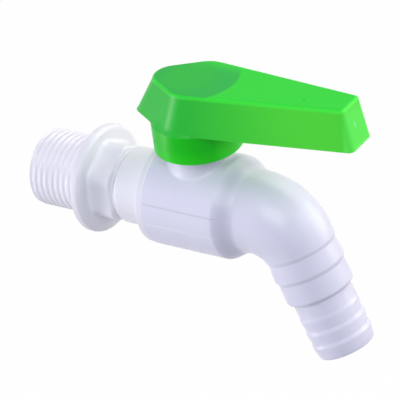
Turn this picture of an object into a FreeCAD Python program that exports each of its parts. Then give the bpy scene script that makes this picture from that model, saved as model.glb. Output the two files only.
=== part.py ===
import FreeCAD, Part
import math
import os

import Sketcher
from FreeCAD import Placement, Rotation, Vector

# A plastic ball tap: threaded inlet nipple, barrel with a stem boss, bent hose tail and lever handle.
# Origin at the centre of the flange's wall face. +X runs along the inlet to the spout, +Z up the stem.

doc = FreeCAD.newDocument("ball_tap")


# Driving dimensions, in millimetres and degrees

SIZES = {
    # inlet nipple
    "thread_diameter": 20.955,
    "thread_length": 17.1,
    "thread_lead_in": 0.75,
    "inlet_bore": 12.4,
    "flange_diameter": 29.6,
    "flange_thickness": 2.7,
    "flange_front_round": 1.2,
    "flange_back_round": 0.6,
    "hexagon_flats": 20.1,
    "hexagon_length": 7.0,
    "hexagon_corner_round": 3.5,
    "hexagon_groove_width": 0.8,
    "hexagon_groove_depth": 0.8,
    "neck_diameter": 20.8,
    "neck_length": 9.74,
    "neck_edge_round": 0.5,
    "collar_diameter": 27.6,
    "collar_width": 2.0,
    "collar_round": 0.5,
    "spigot_clearance": 0.05,
    # barrel and shoulder
    "barrel_diameter": 28.0,
    "barrel_length": 22.4,
    "barrel_rim_round": 0.3,
    "barrel_end_round": 1.6,
    "shoulder_length": 6.2,
    "shoulder_land": 1.7,
    "shoulder_foot_round": 3.0,
    "cavity_diameter": 21.4,
    "cavity_lead_in": 0.4,
    # elbow and hose tail
    "elbow_start_diameter": 22.4,
    "elbow_end_diameter": 20.0,
    "bend_radius": 12.5,
    "spout_angle": 68.3,
    "spout_bore": 11.4,
    "elbow_land": 0.5,
    "elbow_edge_round": 0.45,
    "notch_diameter": 18.7,
    "notch_width": 0.35,
    "ring_length": 5.65,
    "ring_top_diameter": 18.9,
    "ring_diameter": 19.9,
    "ring_round": 0.5,
    "second_ring_length": 6.75,
    "second_ring_top_diameter": 18.4,
    "second_ring_diameter": 19.1,
    "second_ring_round": 0.7,
    "tail_neck_length": 5.0,
    "tail_neck_diameter": 16.4,
    "barb_count": 3,
    "barb_pitch": 4.0,
    "barb_diameter": 16.8,
    "barb_root_diameter": 16.1,
    "barb_edge_length": 0.15,
    "tip_length": 0.4,
    "tip_diameter": 15.5,
    "tip_round": 0.7,
    # stem boss and turn stop
    "stem_from_barrel_rim": 12.1,
    "boss_diameter": 17.4,
    "boss_height": 24.0,
    "boss_fillet": 1.2,
    "stop_rim_height": 2.0,
    "stop_rim_wall": 2.0,
    "stop_rib_width": 3.0,
    "stop_rib_height": 6.0,
    "stop_margin": 1.5,
    "turn_range": 90.0,
    "lever_turn": 3.3,
    # ball and seats
    "ball_diameter": 19.0,
    "ball_bore": 11.0,
    "ball_clearance": 0.05,
    "slot_width": 4.1,
    "slot_floor_height": 7.0,
    "seat_bore": 11.8,
    "seat_front_offset": 5.2,
    "seat_back_offset": 8.6,
    "seat_clearance": 0.08,
    "cushion_section": 1.2,
    "cushion_mean_diameter": 16.6,
    # stem
    "stem_diameter": 9.9,
    "stem_clearance": 0.05,
    "stem_collar_diameter": 12.4,
    "stem_collar_gap": 0.1,
    "stem_collar_height": 1.5,
    "tang_clearance": 0.06,
    "oring_section": 1.3,
    "oring_groove_play": 0.25,
    "lower_oring_height": 14.9,
    "upper_oring_height": 19.3,
    "oring_clearance": 0.03,
    "square_flats": 6.8,
    "square_top": 33.6,
    "square_chamfer": 0.6,
    "snap_height": 30.0,
    "snap_depth": 0.45,
    "snap_width": 1.4,
    "nipple_oring_section": 1.5,
    "nipple_oring_offset": 1.75,
    # handle
    "hub_bottom": 17.3,
    "hub_diameter": 23.9,
    "hub_shoulder_height": 2.4,
    "hub_shoulder_depth": 1.6,
    "hub_web_wall": 1.05,
    "hub_wall_span": 110.0,
    "hub_inner_diameter": 20.0,
    "hub_rim_round": 0.4,
    "lever_bottom": 25.5,
    "lever_top": 37.3,
    "lever_wall": 1.9,
    "top_plate": 2.0,
    "nose_angle": 33.2,
    "side_taper": 7.1,
    "top_tip_place": -15.3,
    "top_nose_round": 5.4,
    "top_corner_round": 4.8,
    "top_end_place": 48.1,
    "top_end_half_width": 4.7,
    "top_end_round": 1.2,
    "bottom_tip_place": -20.2,
    "bottom_nose_round": 3.2,
    "bottom_corner_round": 7.0,
    "bottom_end_place": 50.0,
    "bottom_end_half_width": 5.2,
    "bottom_end_round": 1.6,
    "inner_round": 0.5,
    "top_edge_round": 0.9,
    "socket_diameter": 12.4,
    "socket_clearance": 0.05,
    "socket_depth_clearance": 0.4,
    "rib_width": 1.6,
    "rib_bottom": 28.0,
    "seating_gap": 0.3,
}

sheet = doc.addObject("Spreadsheet::Sheet", "sizes")
for row, (alias, number) in enumerate(SIZES.items(), start=1):
    sheet.set(f"A{row}", alias)
    sheet.set(f"B{row}", str(number))
    sheet.setAlias(f"B{row}", alias)
doc.recompute()


HALF_TURN = 180.0
HEXAGON_SIDES = 6


# Lengths that carry both their value and the expression that ties them to the sheet

class Size:
    """A value and the sheet expression that gives it."""

    def __init__(self, value, text):
        self.value = value
        self.text = text

    @staticmethod
    def of(other):
        """Any number as a Size."""
        return other if isinstance(other, Size) else Size(float(other), f"{float(other):.6f}")

    def __add__(self, other):
        other = Size.of(other)
        return Size(self.value + other.value, f"({self.text} + {other.text})")

    def __sub__(self, other):
        other = Size.of(other)
        return Size(self.value - other.value, f"({self.text} - {other.text})")

    def __mul__(self, other):
        other = Size.of(other)
        return Size(self.value * other.value, f"({self.text} * {other.text})")

    def __truediv__(self, other):
        other = Size.of(other)
        return Size(self.value / other.value, f"({self.text} / {other.text})")

    def __neg__(self):
        return Size(-self.value, f"(0 - {self.text})")

    __radd__ = __add__
    __rmul__ = __mul__


def size(alias):
    """The named cell of the sheet."""
    return Size(float(sheet.get(alias)), f"sizes.{alias}")


def half(alias):
    """Half of the named cell, such as a radius."""
    return size(alias) / 2


def sine(angle):
    """Sine of an angle in degrees."""
    return Size(math.sin(math.radians(angle.value)), f"sin({angle.text})")


def cosine(angle):
    """Cosine of an angle in degrees."""
    return Size(math.cos(math.radians(angle.value)), f"cos({angle.text})")


def tangent(angle):
    """Tangent of an angle in degrees."""
    return Size(math.tan(math.radians(angle.value)), f"tan({angle.text})")


def arcsine(share):
    """The angle in degrees whose sine is given."""
    return Size(math.degrees(math.asin(share.value)), f"asin({share.text}) / 1deg")


# Sketches, features and edge picks

def origin_feature(body, role):
    """The origin plane or axis of a body, by its role."""
    return next(item for item in body.Origin.OriginFeatures if item.Role == role)


def new_body(name):
    """An empty solid body that carries its own name as its label."""
    body = doc.addObject("PartDesign::Body", name)
    body.Label = name
    return body


def new_sketch(body, name, plane, lift=None, shift=None, turn=None):
    """A sketch on an origin plane, lifted along its normal or moved and turned in the plane."""
    sketch = body.newObject("Sketcher::SketchObject", name)
    sketch.AttachmentSupport = (origin_feature(body, plane), "")
    sketch.MapMode = "FlatFace"
    angle = turn.value if turn is not None else 0.0
    place = Vector(shift.value if shift is not None else 0.0, 0.0, lift.value if lift is not None else 0.0)
    sketch.AttachmentOffset = Placement(place, Rotation(Vector(0, 0, -1), angle))
    if lift is not None:
        sketch.setExpression("AttachmentOffset.Base.z", lift.text)
    if shift is not None:
        sketch.setExpression("AttachmentOffset.Base.x", shift.text)
    if turn is not None:
        sketch.setExpression("AttachmentOffset.Rotation.Angle", turn.text)
    return sketch


def tie(sketch, constraint, text):
    """Adds a dimension and binds it to an expression of the sheet."""
    index = sketch.addConstraint(constraint)
    sketch.setExpression(f"Constraints[{index}]", text)


def pin_point(sketch, geometry, end, place):
    """Fixes a point of the sketch at a place given by two sizes; a plain 0 lies on the axis."""
    for kind, axis, part in (("DistanceX", -2, place[0]), ("DistanceY", -1, place[1])):
        if isinstance(part, Size):
            tie(sketch, Sketcher.Constraint(kind, -1, 1, geometry, end, part.value), part.text)
        else:
            sketch.addConstraint(Sketcher.Constraint("PointOnObject", geometry, end, axis))


def flat(place):
    """A sketch place as a vector."""
    return Vector(Size.of(place[0]).value, Size.of(place[1]).value, 0)


def draw_outline(sketch, corners):
    """Closed outline through corners (x, y) or (x, y, radius), each radius a tangent arc."""
    count = len(corners)
    points = [flat(corner) for corner in corners]
    starts = []
    ends = []
    arcs = []
    for index, corner in enumerate(corners):
        point = points[index]
        if len(corner) == 2:
            starts.append(point)
            ends.append(point)
            arcs.append(None)
            continue
        back = (points[index - 1] - point).normalize()
        ahead = (points[(index + 1) % count] - point).normalize()
        half_angle = back.getAngle(ahead) / 2
        radius = corner[2].value
        reach = radius / math.tan(half_angle)
        centre = point + (back + ahead).normalize() * (radius / math.sin(half_angle))
        first = point + back * reach
        last = point + ahead * reach
        turns_left = back.cross(ahead).z < 0
        span = (first, last) if turns_left else (last, first)
        angles = [math.atan2(p.y - centre.y, p.x - centre.x) for p in span]
        arcs.append((Part.Circle(centre, Vector(0, 0, 1), radius), angles, turns_left))
        ends.append(first)
        starts.append(last)
    lines = [
        sketch.addGeometry(Part.LineSegment(starts[index], ends[(index + 1) % count]))
        for index in range(count)
    ]
    for index, corner in enumerate(corners):
        before = lines[index - 1]
        after = lines[index]
        if arcs[index] is None:
            sketch.addConstraint(Sketcher.Constraint("Coincident", before, 2, after, 1))
            pin_point(sketch, after, 1, corner)
            continue
        circle, angles, turns_left = arcs[index]
        arc = sketch.addGeometry(Part.ArcOfCircle(circle, *angles))
        mark = sketch.addGeometry(Part.Point(points[index]), True)
        enter, leave = (1, 2) if turns_left else (2, 1)
        sketch.addConstraint(Sketcher.Constraint("Tangent", before, 2, arc, enter))
        sketch.addConstraint(Sketcher.Constraint("Tangent", after, 1, arc, leave))
        sketch.addConstraint(Sketcher.Constraint("PointOnObject", mark, 1, before))
        sketch.addConstraint(Sketcher.Constraint("PointOnObject", mark, 1, after))
        pin_point(sketch, mark, 1, corner)
        tie(sketch, Sketcher.Constraint("Radius", arc, corner[2].value), corner[2].text)


def draw_circle(sketch, radius, centre=(0, 0)):
    """A circle of the given radius."""
    circle = sketch.addGeometry(Part.Circle(flat(centre), Vector(0, 0, 1), radius.value))
    tie(sketch, Sketcher.Constraint("Radius", circle, radius.value), radius.text)
    pin_point(sketch, circle, 3, centre)


def rectangle(low, high):
    """The four corners of a rectangle between two opposite corners."""
    return [low, (high[0], low[1]), high, (low[0], high[1])]


def turned(body, kind, name, sketch, axis):
    """A full turn of a sketch about an axis, added or cut."""
    feature = body.newObject(f"PartDesign::{kind}", name)
    feature.Profile = sketch
    feature.ReferenceAxis = axis
    feature.Angle = 360.0
    sketch.Visibility = False
    doc.recompute()
    return feature


def pushed(body, kind, name, sketch, length, reverse=False, both_ways=False):
    """A straight pad or pocket of a sketch."""
    feature = body.newObject(f"PartDesign::{kind}", name)
    feature.Profile = sketch
    feature.Length = length.value
    feature.setExpression("Length", length.text)
    feature.Reversed = reverse
    feature.Midplane = both_ways
    sketch.Visibility = False
    doc.recompute()
    return feature


def eased(body, kind, name, edges, amount):
    """A fillet or chamfer of the named edges of the body's tip."""
    base = body.Tip
    feature = body.newObject(f"PartDesign::{kind}", name)
    feature.Base = (base, edges)
    prop = "Radius" if kind == "Fillet" else "Size"
    setattr(feature, prop, amount.value)
    feature.setExpression(prop, amount.text)
    doc.recompute()
    return feature


def edges_where(body, test):
    """The names of the tip's edges whose sample points all pass the test."""
    names = []
    for index, edge in enumerate(body.Tip.Shape.Edges, start=1):
        points = edge.discretize(Number=5)
        if all(test(point) for point in points):
            names.append(f"Edge{index}")
    return names


def near(first, second, slack=0.02):
    """Whether two numbers agree."""
    return abs(first - second) < slack


def around_x(point):
    """Distance of a point from the X axis."""
    return math.hypot(point.y, point.z)


# Places along the flow axis, all measured from the wall face

flange_end = size("flange_thickness")
hexagon_end = flange_end + size("hexagon_length")
neck_start = hexagon_end + size("hexagon_groove_width")
collar_start = neck_start + size("neck_length")
barrel_start = collar_start + size("collar_width")
barrel_end = barrel_start + size("barrel_length")
bend_start = barrel_end + size("shoulder_length")
stem_place = barrel_start + size("stem_from_barrel_rim")
bend_reach = size("bend_radius") * tangent(size("spout_angle") / 2)
spout_corner = bend_start + bend_reach

seat_back = size("seat_back_offset")
seat_front = size("seat_front_offset")
spigot_end = stem_place - seat_back
cavity_radius = half("cavity_diameter")
spigot_radius = cavity_radius - size("spigot_clearance")
seat_radius = cavity_radius - size("seat_clearance")
stem_bore_radius = half("stem_diameter") + size("stem_clearance")
cushion_radius = half("cushion_section")
cushion_groove_depth = size("cushion_section")
cushion_inner = half("cushion_mean_diameter") - cushion_radius
cushion_outer = half("cushion_mean_diameter") + cushion_radius
collar_base = cavity_radius + size("stem_collar_gap")
collar_top = collar_base + size("stem_collar_height")


# Inlet nipple: thread shank, flange, hexagon, neck, collar and spigot, moulded in one

def make_inlet_nipple():
    """The nipple turned about the flow axis, with its hexagon padded on and its bore cut through."""
    body = new_body("inlet_nipple")
    flow_axis = (origin_feature(body, "X_Axis"), [""])
    thread = half("thread_diameter")
    neck = half("neck_diameter")
    collar = half("collar_diameter")
    groove_floor = neck - size("hexagon_groove_depth")
    outer = new_sketch(body, "nipple_profile", "XZ_Plane")
    shank_end = -size("thread_length")
    draw_outline(outer, [
        (shank_end, 0),
        (spigot_end, 0),
        (spigot_end, spigot_radius),
        (barrel_start, spigot_radius),
        (barrel_start, collar),
        (collar_start, collar, size("collar_round")),
        (collar_start, neck),
        (neck_start, neck, size("neck_edge_round")),
        (neck_start, groove_floor),
        (flange_end, groove_floor),
        (flange_end, half("flange_diameter"), size("flange_front_round")),
        (0, half("flange_diameter"), size("flange_back_round")),
        (0, thread),
        (shank_end + size("thread_lead_in"), thread),
        (shank_end, thread - size("thread_lead_in")),
    ])
    turned(body, "Revolution", "nipple_turning", outer, flow_axis)

    hexagon = new_sketch(body, "hexagon_outline", "YZ_Plane", lift=flange_end)
    side = half("hexagon_flats")
    rise = side / cosine(Size.of(HALF_TURN / HEXAGON_SIDES))
    corner = size("hexagon_corner_round")
    draw_outline(hexagon, [
        (0, rise, corner),
        (-side, rise / 2, corner),
        (-side, -rise / 2, corner),
        (0, -rise, corner),
        (side, -rise / 2, corner),
        (side, rise / 2, corner),
    ])
    pushed(body, "Pad", "wrench_hexagon", hexagon, size("hexagon_length"))

    groove = new_sketch(body, "nipple_groove_profile", "XZ_Plane")
    groove_middle = barrel_start + size("nipple_oring_offset")
    groove_half = half("nipple_oring_section") + half("oring_groove_play")
    oring_floor = cavity_radius - size("oring_clearance") - size("nipple_oring_section")
    draw_outline(groove, rectangle((groove_middle - groove_half, oring_floor),
                                   (groove_middle + groove_half, cavity_radius + size("oring_clearance"))))
    turned(body, "Groove", "nipple_oring_groove", groove, flow_axis)

    cushion = new_sketch(body, "inlet_cushion_profile", "XZ_Plane")
    draw_outline(cushion, rectangle((spigot_end - cushion_groove_depth, cushion_inner),
                                    (spigot_end + size("oring_clearance"), cushion_outer)))
    turned(body, "Groove", "inlet_cushion_groove", cushion, flow_axis)

    bore = new_sketch(body, "inlet_bore_circle", "YZ_Plane", lift=shank_end)
    draw_circle(bore, half("inlet_bore"))
    pushed(body, "Pocket", "inlet_bore", bore, size("thread_length") + spigot_end, reverse=True)
    return body


# Body: barrel, shoulder, elbow, hose tail and stem boss, moulded in one

def tail_outline():
    """The hose tail's half profile along the spout axis, from the corner of the two axes."""
    start = bend_reach
    land_end = start + size("elbow_land")
    notch_end = land_end + size("notch_width")
    ring_end = notch_end + size("ring_length")
    second_end = ring_end + size("second_ring_length")
    neck_end = second_end + size("tail_neck_length")
    corners = [
        (start, 0),
        (start, half("elbow_end_diameter")),
        (land_end, half("elbow_end_diameter"), size("elbow_edge_round")),
        (land_end, half("notch_diameter")),
        (notch_end, half("notch_diameter")),
        (notch_end, half("ring_top_diameter")),
        (ring_end, half("ring_diameter"), size("ring_round")),
        (ring_end, half("second_ring_top_diameter")),
        (second_end, half("second_ring_diameter"), size("second_ring_round")),
        (second_end, half("tail_neck_diameter")),
        (neck_end, half("tail_neck_diameter")),
    ]
    for index in range(int(SIZES["barb_count"])):
        edge = neck_end + size("barb_pitch") * index
        corners.append((edge + size("barb_edge_length"), half("barb_diameter")))
        corners.append((edge + size("barb_pitch"), half("barb_root_diameter")))
    tip = neck_end + size("barb_pitch") * SIZES["barb_count"] + size("tip_length")
    corners[-1] = (tip, half("tip_diameter"), size("tip_round"))
    corners.append((tip, 0))
    return corners, tip


def make_body():
    """The one-piece moulding, with the ball cavity, curved flow bore and stem bore cut into it."""
    body = new_body("body")
    flow_axis = (origin_feature(body, "X_Axis"), [""])
    barrel = half("barrel_diameter")
    boss = half("boss_diameter")
    elbow_start = half("elbow_start_diameter")

    profile = new_sketch(body, "barrel_profile", "XZ_Plane")
    slope_end = bend_start - size("shoulder_land")
    draw_outline(profile, [
        (barrel_start, 0),
        (bend_start, 0),
        (bend_start, elbow_start),
        (slope_end, elbow_start, size("shoulder_foot_round")),
        (barrel_end, barrel, size("barrel_end_round")),
        (barrel_start, barrel, size("barrel_rim_round")),
    ])
    turned(body, "Revolution", "barrel_turning", profile, flow_axis)

    spine = new_sketch(body, "elbow_centre_line", "XZ_Plane")
    draw_bend(spine)
    start_ring = new_sketch(body, "elbow_start_circle", "YZ_Plane", lift=bend_start)
    draw_circle(start_ring, elbow_start)
    end_ring = body.newObject("Sketcher::SketchObject", "elbow_end_circle")
    place_on_spout(body, end_ring)
    draw_circle(end_ring, half("elbow_end_diameter"))
    elbow = body.newObject("PartDesign::AdditivePipe", "elbow")
    elbow.Profile = start_ring
    elbow.Spine = (spine, ["Edge1"])
    elbow.Transformation = "Multisection"
    elbow.Sections = [(end_ring, [""])]
    doc.recompute()

    tail = new_sketch(body, "hose_tail_profile", "XZ_Plane", shift=spout_corner, turn=size("spout_angle"))
    corners, tail_tip = tail_outline()
    draw_outline(tail, corners)
    turned(body, "Revolution", "hose_tail", tail, (tail, ["H_Axis"]))

    boss_circle = new_sketch(body, "stem_boss_circle", "XY_Plane")
    draw_circle(boss_circle, boss, (stem_place, 0))
    pushed(body, "Pad", "stem_boss", boss_circle, size("boss_height"))
    foot = edges_where(
        body,
        lambda p: near(math.hypot(p.x - stem_place.value, p.y), boss.value) and near(around_x(p), barrel.value),
    )
    eased(body, "Fillet", "boss_fillet", foot, size("boss_fillet"))

    rim_circle = new_sketch(body, "stop_rim_circle", "XY_Plane", lift=size("boss_height"))
    draw_circle(rim_circle, boss, (stem_place, 0))
    draw_circle(rim_circle, boss - size("stop_rim_wall"), (stem_place, 0))
    pushed(body, "Pad", "stop_rim", rim_circle, size("stop_rim_height"))
    gap = new_sketch(body, "stop_gap_outline", "XY_Plane", lift=size("boss_height"))
    draw_outline(gap, stop_gap_corners(boss))
    pushed(body, "Pocket", "stop_gap", gap, size("stop_rim_height"), reverse=True)

    cavity = new_sketch(body, "cavity_profile", "XZ_Plane")
    seat_wall = stem_place + seat_back
    groove_floor = seat_wall + cushion_groove_depth
    lead = size("cavity_lead_in")
    draw_outline(cavity, [
        (barrel_start, 0),
        (bend_start, 0),
        (bend_start, half("spout_bore")),
        (seat_wall, half("spout_bore")),
        (seat_wall, cushion_inner),
        (groove_floor, cushion_inner),
        (groove_floor, cushion_outer),
        (seat_wall, cushion_outer),
        (seat_wall, cavity_radius),
        (barrel_start + lead, cavity_radius),
        (barrel_start, cavity_radius + lead),
    ])
    turned(body, "Groove", "ball_cavity", cavity, flow_axis)

    bend_spine = new_sketch(body, "bore_centre_line", "XZ_Plane")
    draw_bend(bend_spine)
    bore_ring = new_sketch(body, "bore_circle", "YZ_Plane", lift=bend_start)
    draw_circle(bore_ring, half("spout_bore"))
    bend_bore = body.newObject("PartDesign::SubtractivePipe", "bend_bore")
    bend_bore.Profile = bore_ring
    bend_bore.Spine = (bend_spine, ["Edge1"])
    doc.recompute()

    tail_bore = new_sketch(body, "tail_bore_profile", "XZ_Plane", shift=spout_corner,
                           turn=size("spout_angle"))
    draw_outline(tail_bore, rectangle((bend_reach, 0), (tail_tip, half("spout_bore"))))
    turned(body, "Groove", "tail_bore", tail_bore, (tail_bore, ["H_Axis"]))

    stem_circle = new_sketch(body, "stem_bore_circle", "XY_Plane")
    draw_circle(stem_circle, stem_bore_radius, (stem_place, 0))
    pushed(body, "Pocket", "stem_bore", stem_circle, size("boss_height") * 2, reverse=True)
    collar_circle = new_sketch(body, "stem_collar_circle", "XY_Plane")
    draw_circle(collar_circle, half("stem_collar_diameter") + size("seating_gap") / 2, (stem_place, 0))
    pushed(body, "Pocket", "stem_collar_seat", collar_circle, collar_top + size("stem_clearance"), reverse=True)
    return body


def draw_bend(sketch):
    """The bend's centre line: an arc from the barrel's axis down to the spout's axis."""
    radius = size("bend_radius")
    angle = size("spout_angle")
    centre = (bend_start, -radius)
    finish = (bend_start + radius * sine(angle), radius * cosine(angle) - radius)
    circle = Part.Circle(flat(centre), Vector(0, 0, 1), radius.value)
    low = math.radians(90 - angle.value)
    arc = sketch.addGeometry(Part.ArcOfCircle(circle, low, math.pi / 2))
    tie(sketch, Sketcher.Constraint("Radius", arc, radius.value), radius.text)
    pin_point(sketch, arc, 3, centre)
    tie(sketch, Sketcher.Constraint("DistanceX", -1, 1, arc, 2, bend_start.value), bend_start.text)
    tie(sketch, Sketcher.Constraint("DistanceX", -1, 1, arc, 1, finish[0].value), finish[0].text)


def place_on_spout(body, sketch):
    """Sets a sketch square to the spout axis, at the end of the bend."""
    angle = size("spout_angle")
    sketch.AttachmentSupport = (origin_feature(body, "YZ_Plane"), "")
    sketch.MapMode = "FlatFace"
    along = bend_start + size("bend_radius") * sine(angle)
    down = size("bend_radius") * cosine(angle) - size("bend_radius")
    sketch.AttachmentOffset = Placement(Vector(0, down.value, along.value), Rotation(Vector(1, 0, 0), angle.value))
    sketch.setExpression("AttachmentOffset.Base.y", down.text)
    sketch.setExpression("AttachmentOffset.Base.z", along.text)
    sketch.setExpression("AttachmentOffset.Rotation.Angle", angle.text)


def stop_gap_corners(boss):
    """The wedge cut from the stop rim, wide enough for the handle's rib to turn through its range."""
    inner = boss - size("stop_rim_wall")
    rib_angle = arcsine(half("stop_rib_width") / inner)
    first = Size.of(HALF_TURN) - rib_angle - size("stop_margin")
    last = Size.of(HALF_TURN) + size("turn_range") + rib_angle + size("stop_margin")
    middle = (first + last) / 2
    reach = boss / cosine((last - first) / 4)
    far = reach / cosine((last - first) / 4)
    return [
        (stem_place, 0),
        (stem_place + reach * cosine(first), reach * sine(first)),
        (stem_place + far * cosine(middle), far * sine(middle)),
        (stem_place + reach * cosine(last), reach * sine(last)),
    ]


# Ball, seats and their cushions

def place_on_stem(feature):
    """Puts a piece modelled about the stem axis in its place, turned with the lever."""
    feature.Placement = Placement(Vector(stem_place.value, 0, 0), Rotation(Vector(0, 0, 1), SIZES["lever_turn"]))
    feature.setExpression("Placement.Base.x", stem_place.text)
    feature.setExpression("Placement.Rotation.Angle", "sizes.lever_turn")


def primitive(kind, name, **sizes):
    """A solid primitive with its sizes tied to the sheet."""
    item = doc.addObject(f"Part::{kind}", name)
    for prop, amount in sizes.items():
        setattr(item, prop, amount.value)
        item.setExpression(prop, amount.text)
    return item


def move(item, axis, amount):
    """Shifts a primitive along one axis of the frame."""
    base = item.Placement.Base
    setattr(base, axis, amount.value)
    item.Placement.Base = base
    item.setExpression(f"Placement.Base.{axis}", amount.text)


def along_x(item, start):
    """Lays a cylinder or a ring along the flow axis, from a start place."""
    item.Placement = Placement(Vector(start.value, 0, 0), Rotation(Vector(0, 1, 0), 90))
    item.setExpression("Placement.Base.x", start.text)


def make_ball():
    """A sphere with a through bore, and a slot across its top for the stem's tang."""
    ball = half("ball_diameter")
    sphere = primitive("Sphere", "ball_sphere", Radius=ball)
    bore = primitive("Cylinder", "ball_bore_cutter", Radius=half("ball_bore"), Height=size("ball_diameter"))
    along_x(bore, -ball)
    slot = primitive("Box", "ball_slot_cutter", Length=size("slot_width"), Width=size("ball_diameter"),
                     Height=ball)
    move(slot, "x", -half("slot_width"))
    move(slot, "y", -ball)
    move(slot, "z", size("slot_floor_height"))
    cutters = doc.addObject("Part::MultiFuse", "ball_cutters")
    cutters.Shapes = [bore, slot]
    result = doc.addObject("Part::Cut", "ball")
    result.Base = sphere
    result.Tool = cutters
    result.Label = "ball"
    place_on_stem(result)
    doc.recompute()
    return result


def make_seat(name, side):
    """A seat ring whose front is hollowed to the ball; side is -1 for the inlet and 1 for the outlet."""
    depth = seat_back - seat_front
    start = stem_place - seat_back if side < 0 else stem_place + seat_front
    ring = primitive("Cylinder", f"{name}_blank", Radius=seat_radius, Height=depth)
    along_x(ring, start)
    bore = primitive("Cylinder", f"{name}_bore_cutter", Radius=half("seat_bore"), Height=depth)
    along_x(bore, start)
    sphere = primitive("Sphere", f"{name}_ball_cutter", Radius=half("ball_diameter") + size("ball_clearance"))
    move(sphere, "x", stem_place)
    cutters = doc.addObject("Part::MultiFuse", f"{name}_cutters")
    cutters.Shapes = [bore, sphere]
    result = doc.addObject("Part::Cut", name)
    result.Base = ring
    result.Tool = cutters
    result.Label = name
    doc.recompute()
    return result


def make_cushion(name, middle):
    """A rubber ring that backs a seat."""
    shrink = size("oring_clearance")
    ring = primitive("Torus", name, Radius1=half("cushion_mean_diameter"), Radius2=cushion_radius - shrink)
    along_x(ring, middle)
    ring.Label = name
    return ring


def make_nipple_oring():
    """The rubber ring that seals the nipple's spigot in the barrel."""
    section = half("nipple_oring_section")
    mean = cavity_radius - size("oring_clearance") - section
    ring = primitive("Torus", "nipple_oring", Radius1=mean, Radius2=section - size("oring_clearance"))
    along_x(ring, barrel_start + size("nipple_oring_offset"))
    ring.Label = "nipple_oring"
    return ring


# Stem and its rubber rings, modelled about the stem axis

def make_stem():
    """The stem: tang, retaining collar, grooved shaft and square head with its snap groove."""
    body = new_body("stem")
    stem_axis = (origin_feature(body, "Z_Axis"), [""])
    shaft = half("stem_diameter")
    tang_base = size("slot_floor_height") + size("tang_clearance")
    groove_half = half("oring_section") + half("oring_groove_play")
    groove_floor = stem_bore_radius - size("oring_clearance") - size("oring_section")
    lower = size("lower_oring_height")
    upper = size("upper_oring_height")
    top = size("square_top")
    tang_radius = shaft - size("seating_gap")
    profile = new_sketch(body, "stem_profile", "XZ_Plane")
    draw_outline(profile, [
        (0, tang_base),
        (tang_radius, tang_base),
        (tang_radius, collar_base),
        (half("stem_collar_diameter"), collar_base),
        (half("stem_collar_diameter"), collar_top),
        (shaft, collar_top),
        (shaft, lower - groove_half),
        (groove_floor, lower - groove_half),
        (groove_floor, lower + groove_half),
        (shaft, lower + groove_half),
        (shaft, upper - groove_half),
        (groove_floor, upper - groove_half),
        (groove_floor, upper + groove_half),
        (shaft, upper + groove_half),
        (shaft, top - size("square_chamfer")),
        (shaft - size("square_chamfer"), top),
        (0, top),
    ])
    turned(body, "Revolution", "stem_turning", profile, stem_axis)

    beyond = size("ball_diameter")
    tang = new_sketch(body, "tang_cheeks", "XY_Plane", lift=tang_base)
    tang_half = half("slot_width") - size("tang_clearance")
    for sign in (-1, 1):
        near_side = tang_half * sign
        far_side = beyond * sign
        low, high = sorted((near_side, far_side), key=lambda part: part.value)
        draw_outline(tang, rectangle((low, -beyond), (high, beyond)))
    pushed(body, "Pocket", "tang", tang, collar_base - tang_base, reverse=True)

    flats = half("square_flats")
    square = new_sketch(body, "square_cheeks", "XY_Plane", lift=size("boss_height") + size("seating_gap"))
    wide = size("stem_diameter")
    draw_outline(square, rectangle((-wide, -wide), (wide, wide)))
    draw_outline(square, rectangle((-flats, -flats), (flats, flats)))
    pushed(body, "Pocket", "square_head", square, top, reverse=True)

    snap = new_sketch(body, "snap_groove_outline", "XZ_Plane")
    low = size("snap_height") - half("snap_width")
    high = size("snap_height") + half("snap_width")
    for sign in (-1, 1):
        near_side = (flats - size("snap_depth")) * sign
        far_side = wide * sign
        left, right = sorted((near_side, far_side), key=lambda part: part.value)
        draw_outline(snap, rectangle((left, low), (right, high)))
    pushed(body, "Pocket", "snap_grooves", snap, size("stem_diameter"), both_ways=True)
    place_on_stem(body)
    return body


def make_stem_oring(name, height):
    """A rubber ring in one of the stem's grooves."""
    section = half("oring_section")
    mean = stem_bore_radius - size("oring_clearance") - section
    ring = primitive("Torus", name, Radius1=mean, Radius2=section - size("oring_clearance") / 2)
    move(ring, "x", stem_place)
    move(ring, "z", height)
    ring.Label = name
    return ring


# Handle: a hollow lever shell with its hub, drive socket, stop rib and stiffening rib

def lever_corners(level, inset):
    """The lever's outline at its top or bottom, drawn in by an inset that follows its walls."""
    nose = size("nose_angle")
    taper = size("side_taper")
    tip_x = size(f"{level}_tip_place")
    end_x = size(f"{level}_end_place")
    end_y = size(f"{level}_end_half_width")
    rounds = [size(f"{level}_{part}_round") for part in ("nose", "corner", "end")]
    if inset is not None:
        tip_x = tip_x + inset / sine(nose)
        end_x = end_x - inset
        end_y = end_y + inset * tangent(taper) - inset / cosine(taper)
        rounds = [
            part - inset if part.value - inset.value > SIZES["inner_round"] else size("inner_round")
            for part in rounds
        ]
    corner_x = (end_y + tangent(taper) * end_x + tangent(nose) * tip_x) / (tangent(nose) + tangent(taper))
    corner_y = tangent(nose) * (corner_x - tip_x)
    nose_round, corner_round, end_round = rounds
    return [
        (tip_x, 0, nose_round),
        (corner_x, -corner_y, corner_round),
        (end_x, -end_y, end_round),
        (end_x, end_y, end_round),
        (corner_x, corner_y, corner_round),
    ]


def lever_loft(body, kind, name, rungs):
    """A loft through the lever's outlines, added or cut; each rung is a level, a height and an inset."""
    sketches = []
    for index, (level, height, inset) in enumerate(rungs):
        sketch = new_sketch(body, f"{name}_outline_{index}", "XY_Plane", lift=height)
        draw_outline(sketch, lever_corners(level, inset))
        sketches.append(sketch)
    loft = body.newObject(f"PartDesign::{kind}", name)
    loft.Profile = sketches[0]
    loft.Sections = [(sketch, [""]) for sketch in sketches[1:]]
    loft.Ruled = True
    doc.recompute()
    return loft


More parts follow.
